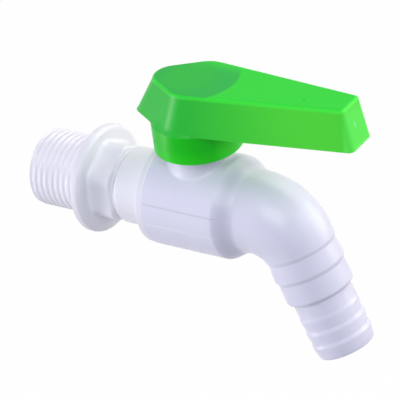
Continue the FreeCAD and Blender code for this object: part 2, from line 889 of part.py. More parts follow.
def lever_rungs():
    """The outside: flat flared walls, then a rounded top edge in three steps."""
    bend = size("top_edge_round")
    spring = size("lever_top") - bend
    rungs = [("bottom", size("lever_bottom"), None), ("top", spring, None)]
    for step in (30, 60, 90):
        angle = Size.of(step)
        rungs.append(("top", spring + bend * sine(angle), bend - bend * cosine(angle)))
    return rungs


def make_handle():
    """The handle, modelled about the stem axis with the lever along +X."""
    body = new_body("handle")
    stem_axis = (origin_feature(body, "Z_Axis"), [""])
    roof = size("lever_top") - size("top_plate")
    wall = size("lever_wall")
    half_wall = wall / 2
    lever_loft(body, "AdditiveLoft", "lever_shell", lever_rungs())

    hub = new_sketch(body, "hub_profile", "XZ_Plane")
    hub_radius = half("hub_diameter")
    hub_inner = half("hub_inner_diameter")
    shoulder_top = size("lever_bottom") + size("hub_shoulder_height")
    draw_outline(hub, [
        (0, size("hub_bottom")),
        (hub_radius, size("hub_bottom"), size("hub_rim_round")),
        (hub_radius, size("lever_bottom")),
        (hub_radius - size("hub_shoulder_depth"), shoulder_top),
        (0, shoulder_top),
    ])
    turned(body, "Revolution", "hub", hub, stem_axis)
    lever_loft(body, "SubtractiveLoft", "lever_hollow",
               [("bottom", size("lever_bottom"), wall), ("top", roof, wall)])
    hub_bore = new_sketch(body, "hub_bore_circle", "XY_Plane", lift=size("hub_bottom"))
    draw_circle(hub_bore, hub_inner)
    pushed(body, "Pocket", "hub_bore", hub_bore, size("lever_bottom") - size("hub_bottom"), reverse=True)

    root_depth = size("top_plate") / 2
    web = new_sketch(body, "hub_web_profile", "XZ_Plane")
    draw_outline(web, rectangle((hub_inner, size("lever_bottom") - root_depth),
                                (hub_inner + size("hub_web_wall"), roof + root_depth)))
    hub_web = turned(body, "Revolution", "hub_web", web, stem_axis)
    hub_web.Angle = SIZES["hub_wall_span"]
    hub_web.setExpression("Angle", "sizes.hub_wall_span")
    hub_web.Midplane = True

    socket_base = size("boss_height") + size("seating_gap")
    socket = new_sketch(body, "socket_circle", "XY_Plane", lift=socket_base)
    draw_circle(socket, half("socket_diameter"))
    pushed(body, "Pad", "drive_socket", socket, roof - socket_base + root_depth)

    stop = new_sketch(body, "stop_rib_outline", "XY_Plane", lift=socket_base)
    rib_half = half("stop_rib_width")
    draw_outline(stop, rectangle((-hub_inner - half_wall, -rib_half),
                                 (-half("socket_diameter") + half_wall, rib_half)))
    pushed(body, "Pad", "stop_rib", stop, size("stop_rib_height"))

    rib = new_sketch(body, "lever_rib_outline", "XY_Plane", lift=size("rib_bottom"))
    rib_end = size("top_end_place") - half_wall
    rib_start = hub_inner + half("hub_web_wall")
    draw_outline(rib, rectangle((rib_start, -half("rib_width")), (rib_end, half("rib_width"))))
    pushed(body, "Pad", "lever_rib", rib, roof - size("rib_bottom") + root_depth)

    inside = half("square_flats") + size("socket_clearance")
    drive = new_sketch(body, "square_socket_outline", "XY_Plane", lift=socket_base)
    draw_outline(drive, rectangle((-inside, -inside), (inside, inside)))
    drive_depth = size("square_top") + size("socket_depth_clearance") - socket_base
    pushed(body, "Pocket", "square_socket", drive, drive_depth, reverse=True)

    bead = new_sketch(body, "snap_bead_outline", "XZ_Plane")
    bead_rise = half("snap_width") - size("socket_clearance")
    bead_foot = inside + size("snap_depth")
    for sign in (-1, 1):
        crest = (inside - size("snap_depth") + size("socket_clearance")) * sign
        foot = bead_foot * sign
        middle = size("snap_height")
        corners = [(crest, middle), (foot, middle - bead_rise), (foot, middle + bead_rise)]
        draw_outline(bead, corners if sign > 0 else corners[::-1])
    pushed(body, "Pad", "snap_beads", bead, half("square_flats"), both_ways=True)
    place_on_stem(body)
    return body


# All the pieces

pieces = [
    make_inlet_nipple(),
    make_body(),
    make_ball(),
    make_seat("inlet_seat", -1),
    make_seat("outlet_seat", 1),
    make_cushion("inlet_seat_cushion", spigot_end - cushion_radius),
    make_cushion("outlet_seat_cushion", stem_place + seat_back + cushion_radius),
    make_nipple_oring(),
    make_stem(),
    make_stem_oring("lower_stem_oring", size("lower_oring_height")),
    make_stem_oring("upper_stem_oring", size("upper_oring_height")),
    make_handle(),
]
doc.recompute()

failed = [item.Name for item in doc.Objects if {"Invalid", "Error"} & set(item.State)]
if failed:
    raise RuntimeError(f"objects that failed: {failed}")
os.makedirs("parts", exist_ok=True)
for piece in pieces:
    if piece.Shape.isNull() or not piece.Shape.isValid():
        raise RuntimeError(f"bad shape: {piece.Label}")
    print(piece.Label, len(piece.Shape.Solids), round(piece.Shape.Volume, 2), piece.Shape.BoundBox)
for piece in pieces:
    piece.Shape.exportStep(f"parts/{piece.Label}.step")
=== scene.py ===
"""Dresses a plastic ball tap: a white moulded casing, the ball valve inside it and a green lever handle.

The classes hold sizes in millimetres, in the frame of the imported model: the origin is the middle of the
flange's wall face, +X runs along the flow to the spout and +Z up the stem. They become metres in one place,
where a mesh is made.
"""

from __future__ import annotations

import logging
import math
from dataclasses import dataclass, field, replace
from enum import Enum
from functools import reduce

import bmesh
import bpy
import numpy as np
from mathutils import Matrix, Vector


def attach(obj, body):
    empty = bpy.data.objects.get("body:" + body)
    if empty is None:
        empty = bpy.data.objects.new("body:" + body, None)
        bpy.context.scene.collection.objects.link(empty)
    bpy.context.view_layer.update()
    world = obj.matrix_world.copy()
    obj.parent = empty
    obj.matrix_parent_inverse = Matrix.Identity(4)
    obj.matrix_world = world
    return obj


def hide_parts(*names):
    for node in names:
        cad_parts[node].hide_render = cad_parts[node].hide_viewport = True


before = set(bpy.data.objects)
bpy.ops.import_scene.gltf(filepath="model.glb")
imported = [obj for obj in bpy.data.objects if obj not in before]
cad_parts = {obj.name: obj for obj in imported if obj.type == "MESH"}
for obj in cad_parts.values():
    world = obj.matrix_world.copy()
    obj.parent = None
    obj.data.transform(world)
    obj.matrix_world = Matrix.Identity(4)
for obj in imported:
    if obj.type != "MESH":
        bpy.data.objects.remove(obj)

log = logging.getLogger("ball_tap")

MM = 0.001
STEM_PLACE = 34.34
LEVER_TURN = math.radians(3.3)
PARTING_DEGREES = 74.7
SHARP_ANGLE = math.radians(30)
SEAM = 0.002
NEAR = 0.01

Triple = tuple[float, float, float]
Item = bpy.types.Object
Tree = bpy.types.NodeTree
Socket = bpy.types.NodeSocket


class Slot(Enum):
    """The record's material slots."""

    WHITE = "white_plastic"
    GREEN = "green_plastic"
    BALL = "ball_plastic"
    SEAT = "seat_plastic"
    STEM = "stem_plastic"
    RUBBER = "rubber"


class Body(Enum):
    """The bodies that move against each other."""

    CASING = "casing"
    LEVER = "lever"


class TurnAxis(Enum):
    """The two axes that turned pieces lie on."""

    FLOW = "flow"
    STEM = "stem"


class Combine(Enum):
    """What is done to a solid with other solids."""

    JOIN = "UNION"
    CUT = "DIFFERENCE"


# Outlines and grids


def corner_sides(places: np.ndarray) -> tuple[np.ndarray, np.ndarray, np.ndarray]:
    """The unit sides behind and ahead of each corner of a closed polygon, and half the corner's angle."""
    back, ahead = (np.roll(places, step, axis=0) - places for step in (1, -1))
    back /= np.linalg.norm(back, axis=1, keepdims=True)
    ahead /= np.linalg.norm(ahead, axis=1, keepdims=True)
    return back, ahead, np.arccos(np.clip((back * ahead).sum(axis=1), -1, 1)) / 2


def rounded_outline(corners: np.ndarray, arc_step: float = math.radians(9)) -> np.ndarray:
    """Rounds the corners of a closed polygon.

    A corner with a round becomes an arc tangent to both of its sides. The arc starts round / tan(half the
    corner's angle) before the corner, and its centre lies on the bisector, round / sin(half the angle) away.

    Args:
        corners: Rows of (first, second, round), where a round of 0 keeps the corner sharp.
        arc_step: The largest turn between two points of an arc, in radians.

    Returns:
        The outline's points, as rows of (first, second).
    """
    places, rounds = corners[:, :2], corners[:, 2]
    pieces = []
    for place, radius, before, after, angle in zip(places, rounds, *corner_sides(places)):
        if radius <= 0:
            pieces.append(place[None, :])
            continue
        bisector = (before + after) / np.linalg.norm(before + after)
        centre = place + bisector * radius / math.sin(angle)
        first = place + before * radius / math.tan(angle) - centre
        last = place + after * radius / math.tan(angle) - centre
        start = math.atan2(first[1], first[0])
        turn = (math.atan2(last[1], last[0]) - start + math.pi) % (2 * math.pi) - math.pi
        angles = start + turn * np.linspace(0, 1, max(2, math.ceil(abs(turn) / arc_step)) + 1)
        pieces.append(centre + radius * np.column_stack([np.cos(angles), np.sin(angles)]))
    return np.vstack(pieces)


def with_short_runs(points: np.ndarray, longest: float) -> np.ndarray:
    """Adds points to a closed outline so that no run between two of them is longer than a limit."""
    ends = np.roll(points, -1, axis=0)
    parts = np.maximum(1, np.ceil(np.linalg.norm(ends - points, axis=1) / longest)).astype(int)
    starts = np.repeat(points, parts, axis=0)
    steps = np.repeat(ends - points, parts, axis=0)
    counted = np.arange(parts.sum()) - np.repeat(np.cumsum(parts) - parts, parts)
    return starts + steps * (counted / np.repeat(parts, parts))[:, None]


def turned(profile: np.ndarray, angles: np.ndarray, axis: TurnAxis) -> np.ndarray:
    """Turns a profile about an axis.

    About the flow axis a point is (along, radius * sin(angle), radius * cos(angle)). About the stem axis it
    is (radius * cos(angle), radius * sin(angle), along), before the stem's place is added.

    Args:
        profile: Rows of (along, radius), or two grids stacked as (2, rows, columns).
        angles: The angles round the axis.
        axis: Which axis to turn about.

    Returns:
        A grid of points, as (rows, columns, 3).
    """
    along, radius = (profile[:, 0, None], profile[:, 1, None]) if profile.ndim == 2 else profile
    sine = radius * np.sin(angles)
    cosine = radius * np.cos(angles)
    along = np.broadcast_to(along, sine.shape)
    parts = (along, sine, cosine) if axis is TurnAxis.FLOW else (cosine, sine, along)
    return np.stack(parts, axis=-1)


def full_turn(columns: int) -> np.ndarray:
    """Evenly spaced angles for one full turn."""
    return np.linspace(0, 2 * math.pi, columns, endpoint=False)


def blend(x: np.ndarray, low: float, high: float) -> np.ndarray:
    """A smooth step from 0 at low to 1 at high: 3t^2 - 2t^3 with t the share of the way."""
    t = np.clip((x - low) / (high - low), 0, 1)
    return t * t * (3 - 2 * t)


def turned_with_lever(points: np.ndarray) -> np.ndarray:
    """Puts points modelled about the stem axis in their place, turned as the lever is at rest."""
    cosine, sine = math.cos(LEVER_TURN), math.sin(LEVER_TURN)
    x = points[..., 0] * cosine - points[..., 1] * sine + STEM_PLACE
    y = points[..., 0] * sine + points[..., 1] * cosine
    return np.stack([x, y, points[..., 2]], axis=-1)


@dataclass
class Surface:
    """Grids and caps gathered into one closed surface, in millimetres."""

    points: list[np.ndarray] = field(default_factory=list)
    faces: list[list[int]] = field(default_factory=list)
    count: int = 0

    def add_grid(self, grid: np.ndarray, close_rows: bool = False, keep: np.ndarray | None = None) -> None:
        """Adds a grid whose last column joins its first, as four-sided faces.

        Args:
            grid: Points as (rows, columns, 3).
            close_rows: Whether the last row joins the first too.
            keep: Which faces to keep, as (face rows, columns), or None for all.
        """
        rows, columns = grid.shape[:2]
        index = self.count + np.arange(rows * columns).reshape(rows, columns)
        index = np.concatenate([index, index[:, :1]], axis=1)
        if close_rows:
            index = np.concatenate([index, index[:1]], axis=0)
        quads = np.stack([index[:-1, :-1], index[:-1, 1:], index[1:, 1:], index[1:, :-1]], axis=-1)
        quads = quads.reshape(-1, 4) if keep is None else quads[keep]
        self.points.append(grid.reshape(-1, 3))
        self.faces.extend(quads.tolist())
        self.count += rows * columns

    def add_cap(self, ring: np.ndarray) -> None:
        """Adds one flat face whose corners are the ring's points."""
        self.faces.append(list(range(self.count, self.count + len(ring))))
        self.points.append(ring)
        self.count += len(ring)

    def to_object(self, name: str) -> Item:
        """Makes the surface a mesh object at the origin, with its seams merged and its faces outwards."""
        mesh = bpy.data.meshes.new(name)
        mesh.from_pydata((np.vstack(self.points) * MM).tolist(), [], self.faces)
        work = bmesh.new()
        work.from_mesh(mesh)
        bmesh.ops.remove_doubles(work, verts=work.verts, dist=SEAM * MM)
        bmesh.ops.recalc_face_normals(work, faces=work.faces)
        work.to_mesh(mesh)
        work.free()
        mesh.shade_smooth()
        mesh.set_sharp_from_angle(angle=SHARP_ANGLE)
        return placed(name, mesh)


def placed(name: str, data: bpy.types.ID) -> Item:
    """A new object at the origin that shows the data, linked to the scene."""
    item = bpy.data.objects.new(name, data)
    bpy.context.scene.collection.objects.link(item)
    return item


def solid(name: str, grid: np.ndarray, capped: bool = False) -> Item:
    """A closed solid of one grid: its end rows are capped, or else its last row joins its first."""
    surface = Surface()
    surface.add_grid(grid, close_rows=not capped)
    for ring in (grid[0], grid[-1]) if capped else ():
        surface.add_cap(ring)
    return surface.to_object(name)


def combined(base: Item, others: list[Item], way: Combine) -> Item:
    """Joins solids to a base, or cuts them from it, and deletes them.

    Args:
        base: The object that is changed.
        others: The solids, which are used up.
        way: Whether they are joined or cut.

    Returns:
        The base, with a plain mesh and no modifier.
    """
    for other in others:
        step = base.modifiers.new(way.name.lower(), "BOOLEAN")
        step.operation = way.value
        step.solver = "EXACT"
        step.object = other
    evaluated = base.evaluated_get(bpy.context.evaluated_depsgraph_get())
    mesh = bpy.data.meshes.new_from_object(evaluated)
    base.modifiers.clear()
    base.data = mesh
    for other in others:
        bpy.data.objects.remove(other)
    mesh.shade_smooth()
    mesh.set_sharp_from_angle(angle=SHARP_ANGLE)
    return base


def block(name: str, low: Triple, high: Triple, edge: float = 0.25) -> Item:
    """A block about the stem axis with rounded upright edges, put in place with the lever."""
    ring = rounded_outline(np.array([
        (low[0], low[1], edge), (high[0], low[1], edge), (high[0], high[1], edge), (low[0], high[1], edge)
    ]))
    grid = np.stack([np.insert(ring, 2, height, axis=1) for height in (low[2], high[2])])
    return solid(name, turned_with_lever(grid), capped=True)


# Finishes


def add_node(tree: Tree, kind: str, inputs: dict[object, object] | None = None,
             **settings: object) -> bpy.types.Node:
    """Adds a shader node.

    Args:
        tree: The tree that it goes into.
        kind: The node's type.
        inputs: What its inputs read, by name or number: a socket is linked, and a plain value is set.
        settings: Its properties by name, which are set first.

    Returns:
        The node.
    """
    node = tree.nodes.new(kind)
    for name, value in settings.items():
        setattr(node, name, value)
    for name, value in (inputs or {}).items():
        if isinstance(value, Socket):
            tree.links.new(value, node.inputs[name])
        else:
            node.inputs[name].default_value = value
    return node


def arithmetic(tree: Tree, operation: str, *values: object) -> Socket:
    """A math node whose inputs are sockets or plain numbers, as its result."""
    return add_node(tree, "ShaderNodeMath", dict(enumerate(values)), operation=operation).outputs[0]


def vector_arithmetic(tree: Tree, operation: str, *values: Socket) -> bpy.types.NodeOutputs:
    """A vector math node's results."""
    return add_node(tree, "ShaderNodeVectorMath", dict(enumerate(values)), operation=operation).outputs


def smooth_range(tree: Tree, value: Socket, low: float, high: float) -> Socket:
    """A smooth step of a value from 0 at low to 1 at high. Low may be the larger of the two."""
    inputs = {"Value": value, "From Min": low, "From Max": high}
    return add_node(tree, "ShaderNodeMapRange", inputs, interpolation_type="SMOOTHSTEP").outputs["Result"]


def noise(tree: Tree, position: Socket, scale: Socket, detail: float) -> Socket:
    """A noise texture's value at a position."""
    inputs = {"Vector": position, "Scale": scale, "Detail": detail}
    return add_node(tree, "ShaderNodeTexNoise", inputs).outputs["Fac"]


def new_group(name: str, vectors: tuple[str, ...], numbers: tuple[str, ...],
              results: tuple[str, ...]) -> tuple[Tree, object, object]:
    """A shader node group with named sockets.

    Args:
        name: The group's name.
        vectors: The names of the vectors that it reads.
        numbers: The names of the numbers that it reads.
        results: The names of the numbers that it puts out.

    Returns:
        The group, the sockets that give what it reads, and the sockets that take its results.
    """
    group = bpy.data.node_groups.new(name, "ShaderNodeTree")
    for names, side, kind in (
        (vectors, "INPUT", "Vector"), (numbers, "INPUT", "Float"), (results, "OUTPUT", "Float")
    ):
        for title in names:
            group.interface.new_socket(title, in_out=side, socket_type=f"NodeSocket{kind}")
    return group, group.nodes.new("NodeGroupInput").outputs, group.nodes.new("NodeGroupOutput").inputs


def moulded_skin_group() -> Tree:
    """The skin of a moulding: fine orange peel, slow waves from shrinkage, and a patchy shine.

    Returns:
        A group that puts out a height for a bump, a patch mask from 0 to 1 and a roughness.
    """
    group, given, result = new_group(
        "moulded_skin", ("Position",), ("Peel Scale", "Wave Scale", "Roughness", "Patchiness"),
        ("Height", "Patch", "Roughness"),
    )
    peel = noise(group, given["Position"], given["Peel Scale"], 2.0)
    wave = noise(group, given["Position"], given["Wave Scale"], 1.0)
    patch = smooth_range(group, wave, 0.3, 0.7)
    change = arithmetic(group, "MULTIPLY", arithmetic(group, "SUBTRACT", patch, 0.5), given["Patchiness"])
    height = arithmetic(group, "ADD", peel, arithmetic(group, "MULTIPLY", wave, 5.0))
    group.links.new(height, result["Height"])
    group.links.new(patch, result["Patch"])
    group.links.new(arithmetic(group, "ADD", change, given["Roughness"]), result["Roughness"])
    return group


class Measure(Enum):
    """What a tint can come and go along."""

    ALONG = "Along"
    ACROSS = "Across"
    UP = "Up"
    FROM_STEM = "From Stem"
    OVER_PARTING = "Over Parting"


def measures_group() -> Tree:
    """The measures of a position.

    Along, across and up are x, y and z. From stem is the root of the squares of y and of x less the stem's
    place. Over parting is z less the parting line's height, the size of y over the tangent of its angle.

    Returns:
        A group that puts out the measures.
    """
    group, given, result = new_group("measures", ("Position",), (), tuple(kind.value for kind in Measure))
    x, y, z = add_node(group, "ShaderNodeSeparateXYZ", {0: given["Position"]}).outputs
    from_stem = arithmetic(group, "SUBTRACT", x, STEM_PLACE * MM)
    squares = [arithmetic(group, "MULTIPLY", part, part) for part in (from_stem, y)]
    slope = 1 / math.tan(math.radians(PARTING_DEGREES))
    rise = arithmetic(group, "MULTIPLY", arithmetic(group, "ABSOLUTE", y), slope)
    values = (
        x, y, z, arithmetic(group, "SQRT", arithmetic(group, "ADD", *squares)),
        arithmetic(group, "SUBTRACT", z, rise),
    )
    for kind, value in zip(Measure, values):
        group.links.new(value, result[kind.value])
    return group


def spot_group() -> Tree:
    """A soft oval spot round a place: 1 in its middle and 0 a spread away in each direction."""
    group, given, result = new_group("spot", ("Position", "Place", "Spread"), (), ("Spot",))
    away = vector_arithmetic(group, "SUBTRACT", given["Position"], given["Place"])["Vector"]
    share = vector_arithmetic(group, "DIVIDE", away, given["Spread"])["Vector"]
    length = vector_arithmetic(group, "LENGTH", share)["Value"]
    group.links.new(smooth_range(group, length, 1.0, 0.2), result["Spot"])
    return group


@dataclass
class Workshop:
    """The node groups, made once for all materials."""

    skin: Tree = field(default_factory=moulded_skin_group)
    measures: Tree = field(default_factory=measures_group)
    spot: Tree = field(default_factory=spot_group)


@dataclass(frozen=True)
class Ramp:
    """A smooth step along a measure, from 0 at low to 1 at high. Low may be the larger of the two."""

    measure: Measure
    low: float
    high: float


def peak(measure: Measure, place: float, half_width: float) -> tuple[Ramp, Ramp]:
    """Two ramps that make a soft line at a place."""
    return Ramp(measure, place - half_width, place), Ramp(measure, place + half_width, place)


@dataclass(frozen=True)
class Layer:
    """A tint laid over a finish, as strong as its strength times its ramps and its spot.

    A spot is given by its place and its spread in each direction.
    """

    name: str
    colour: Triple
    strength: float
    ramps: tuple[Ramp, ...] = ()
    spot: tuple[Triple, Triple] | None = None

    def mask(self, workshop: Workshop, tree: Tree, position: Socket,
             measures: bpy.types.NodeOutputs) -> Socket:
        """Works out how strong the tint is.

        Args:
            workshop: The shared node groups.
            tree: The material's nodes.
            position: The place on the surface.
            measures: The place's measures.

        Returns:
            The strength at the place.
        """
        masks = [
            smooth_range(tree, measures[ramp.measure.value], ramp.low * MM, ramp.high * MM)
            for ramp in self.ramps
        ]
        if self.spot:
            place, spread = ([value * MM for value in part] for part in self.spot)
            inputs = {"Position": position, "Place": place, "Spread": spread}
            masks += add_node(tree, "ShaderNodeGroup", inputs, node_tree=workshop.spot).outputs
        return reduce(lambda total, mask: arithmetic(tree, "MULTIPLY", mask, total), masks, self.strength)


@dataclass(frozen=True)
class Finish:
    """A moulded or rubber surface: its colour, how it shines, how its skin is textured and its tints, most of
    which are painted light and shade.
    """

    name: str
    colour: Triple
    patch_colour: Triple
    roughness: float
    patchiness: float = 0.06
    peel_scale: float = 1800.0
    wave_scale: float = 90.0
    bump: float = 0.06
    coat: float = 0.0
    specular: float = 0.5
    subsurface: float = 0.0
    layers: tuple[Layer, ...] = ()

    def make(self, workshop: Workshop) -> bpy.types.Material:
        """Builds the material.

        Args:
            workshop: The shared node groups.

        Returns:
            The material, with its colour, roughness and bump worked out from Object coordinates.
        """
        material = bpy.data.materials.new(self.name)
        material.use_nodes = True
        tree = material.node_tree
        shader = tree.nodes["Principled BSDF"].inputs
        for socket, value in (
            ("Coat Weight", self.coat), ("Coat Roughness", 0.08), ("Specular IOR Level", self.specular),
            ("Subsurface Weight", self.subsurface), ("Subsurface Radius", (1.0, 1.0, 1.0)),
            ("Subsurface Scale", 2 * MM),
        ):
            shader[socket].default_value = value
        position = add_node(tree, "ShaderNodeTexCoord").outputs["Object"]
        inputs = {
            "Position": position, "Peel Scale": self.peel_scale, "Wave Scale": self.wave_scale,
            "Roughness": self.roughness, "Patchiness": self.patchiness,
        }
        skin = add_node(tree, "ShaderNodeGroup", inputs, node_tree=workshop.skin).outputs
        inputs = {"Strength": self.bump, "Distance": 0.1 * MM, "Height": skin["Height"]}
        bump = add_node(tree, "ShaderNodeBump", inputs)
        tints = [("patches", self.patch_colour, skin["Patch"])]
        if self.layers:
            measures = add_node(
                tree, "ShaderNodeGroup", {"Position": position}, node_tree=workshop.measures
            ).outputs
            tints += [
                (layer.name, layer.colour, layer.mask(workshop, tree, position, measures))
                for layer in self.layers
            ]
        colour = (*self.colour, 1.0)
        for name, tint, mask in tints:
            inputs = {"Factor": mask, "A": colour, "B": (*tint, 1.0)}
            colour = add_node(tree, "ShaderNodeMix", inputs, data_type="RGBA", label=name).outputs["Result"]
        tree.links.new(colour, shader["Base Color"])
        tree.links.new(skin["Roughness"], shader["Roughness"])
        tree.links.new(bump.outputs["Normal"], shader["Normal"])
        return material


UPPER_SIDE = Ramp(Measure.UP, 3.0, 12.0)
BARREL_RUN = (Ramp(Measure.ALONG, 22.3, 23.8), Ramp(Measure.ALONG, 51.0, 44.0))
# Tints on the white casing: every one is painted light or shade, not a colour of the plastic.
WHITE_PAINTED_LIGHT = (
    # Painted highlights: pale lines on the upper side of the collar's and the barrel's rounded edges.
    Layer("collar_edge_painted_highlight", (0.98, 0.98, 1.0), 1.0, (*peak(Measure.ALONG, 20.5, 0.42), UPPER_SIDE)),
    Layer("barrel_edge_painted_highlight", (0.98, 0.98, 1.0), 1.0, (*peak(Measure.ALONG, 22.3, 0.42), UPPER_SIDE)),
    # Painted shade: a dark line where the shallow parting groove runs, standing in for the groove's shade.
    Layer("parting_line_painted_shade", (0.62, 0.62, 0.71), 0.8, (*peak(Measure.OVER_PARTING, 0.0, 0.42), *BARREL_RUN)),
    # Painted highlight: a pale streak low along the barrel's side.
    Layer("painted_highlight_streak", (0.93, 0.93, 0.97), 0.5, (*peak(Measure.UP, -2.1, 0.42), *BARREL_RUN)),
    Layer("shoulder_shade", (0.65, 0.65, 0.76), 0.9, peak(Measure.ALONG, 47.0, 3.2)),
)

HUB = Ramp(Measure.UP, 25.5, 25.1)
TOP = Ramp(Measure.UP, 36.9, 37.25)
NEAR_SIDE = Ramp(Measure.ACROSS, 11.0, 4.0)
# Tints on the green lever: all but the speck are painted light or shade; the gate mark's spot is a painted
# highlight.
GREEN_PAINTED_LIGHT_AND_MARKS = (
    # Painted glow: the lever grows warmer and brighter towards its end, standing in for light through and off
    # the plastic.
    Layer("painted_warm_glow_to_the_end", (0.090, 0.78, 0.046), 1.0, (Ramp(Measure.ALONG, 28.0, 74.0),)),
    # Painted light: the end face is paler, as if lit from the spout side.
    Layer("painted_light_on_end_face", (0.115, 0.93, 0.090), 1.0, (Ramp(Measure.ALONG, 81.6, 82.9),)),
    # Painted shade: the hub below the lever is darker, as in the lever's shadow.
    Layer("painted_shade_on_hub", (0.004, 0.57, 0.006), 1.0, (HUB,)),
    # Painted light: the hub grows lighter towards its foot.
    Layer("painted_light_on_hub_foot", (0.016, 0.70, 0.008), 0.8, (Ramp(Measure.UP, 22.5, 17.5),)),
    # Painted light: the hub's spout side is lighter, as if lit from that side.
    Layer("painted_light_on_hub_spout_side", (0.050, 0.90, 0.030), 0.9, (HUB, Ramp(Measure.ALONG, 43.8, 46.4))),
    # Painted light: the top face gets its own cooler tone for how it is lit.
    Layer("painted_light_on_top", (0.008, 0.67, 0.020), 1.0, (TOP,)),
    # Painted shade: a dark disc on the top face over the hub, standing in for the hub's shadow seen through
    # the plastic; its middle is painted lighter.
    Layer("disc", (0.004, 0.43, 0.046), 0.9, (TOP, Ramp(Measure.FROM_STEM, 13.8, 12.8), NEAR_SIDE)),
    Layer("disc_middle", (0.006, 0.50, 0.026), 0.7, (TOP, Ramp(Measure.FROM_STEM, 9.0, 5.0))),
    # Painted highlight: a bright band along the rounded top edge.
    Layer("light_edge", (0.06, 0.93, 0.06), 0.45, (
        Ramp(Measure.UP, 36.3, 36.6), Ramp(Measure.UP, 37.3, 37.25)
    )),
    # Painted highlight: a pale spot on the end face that stands for the gate mark's highlight.
    Layer("gate_mark_painted_highlight", (0.25, 0.97, 0.28), 0.9, spot=((83.6, 2.05, 31.8), (2.0, 0.7, 1.4))),
    Layer("speck", (0.01, 0.36, 0.03), 0.9, spot=((69.8, -0.1, 37.3), (0.6, 0.4, 0.8))),
)

WHITE = Finish(
    "white_moulded_plastic", (0.79, 0.785, 0.895), (0.78, 0.775, 0.89), 0.34, bump=0.04, patchiness=0.03,
    coat=0.06, subsurface=0.1, layers=WHITE_PAINTED_LIGHT,
)
# Painted light: a lighter copy of the white finish, so that the inlet end reads as more brightly lit.
NIPPLE_PAINTED_LIGHTER = replace(
    WHITE, name="white_nipple_plastic_painted_lighter", colour=(0.86, 0.855, 0.895), patch_colour=(0.85, 0.845, 0.89)
)
GREEN = Finish(
    "green_moulded_plastic", (0.016, 0.54, 0.040), (0.016, 0.53, 0.040), 0.34, bump=0.04, patchiness=0.03,
    specular=0.2, subsurface=0.25, layers=GREEN_PAINTED_LIGHT_AND_MARKS,
)
BALL = Finish("white_ball_plastic", (0.80, 0.80, 0.80), (0.77, 0.77, 0.78), 0.18, bump=0.02, coat=0.3)
SEAT = Finish("seat_plastic", (0.86, 0.86, 0.84), (0.82, 0.82, 0.80), 0.42, bump=0.04)
STEM = Finish("stem_plastic", (0.020, 0.020, 0.022), (0.028, 0.028, 0.030), 0.38, bump=0.06)
RUBBER = Finish(
    "seal_rubber", (0.012, 0.012, 0.012), (0.02, 0.02, 0.02), 0.62, patchiness=0.15, peel_scale=2600.0,
    bump=0.15,
)


@dataclass
class Fitter:
    """Dresses a finished piece and ties it to its body and node."""

    workshop: Workshop
    materials: dict[str, bpy.types.Material] = field(default_factory=dict)

    def material(self, finish: Finish) -> bpy.types.Material:
        """The finish's material, made once."""
        if finish.name not in self.materials:
            self.materials[finish.name] = finish.make(self.workshop)
        return self.materials[finish.name]

    def fit(self, piece: Item, node: str, body: Body, finish: Finish) -> None:
        """Gives a piece its finish and lets it stand for a node of the model.

        Args:
            piece: The finished mesh object.
            node: The node that the piece stands for.
            body: The body that it rides on.
            finish: The surface finish.
        """
        piece.data.materials.clear()
        piece.data.materials.append(self.material(finish))
        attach(piece, body.value)
        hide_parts(node)
        log.info("%s: %d faces, stands for %s", piece.name, len(piece.data.polygons), node)

    def dress_node(self, node: str, finish: Finish) -> None:
        """Gives a node that is shown as it is its finish."""
        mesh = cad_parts[node].data
        mesh.materials.clear()
        mesh.materials.append(self.material(finish))
        log.info("%s: shown as modelled", node)


# Casing


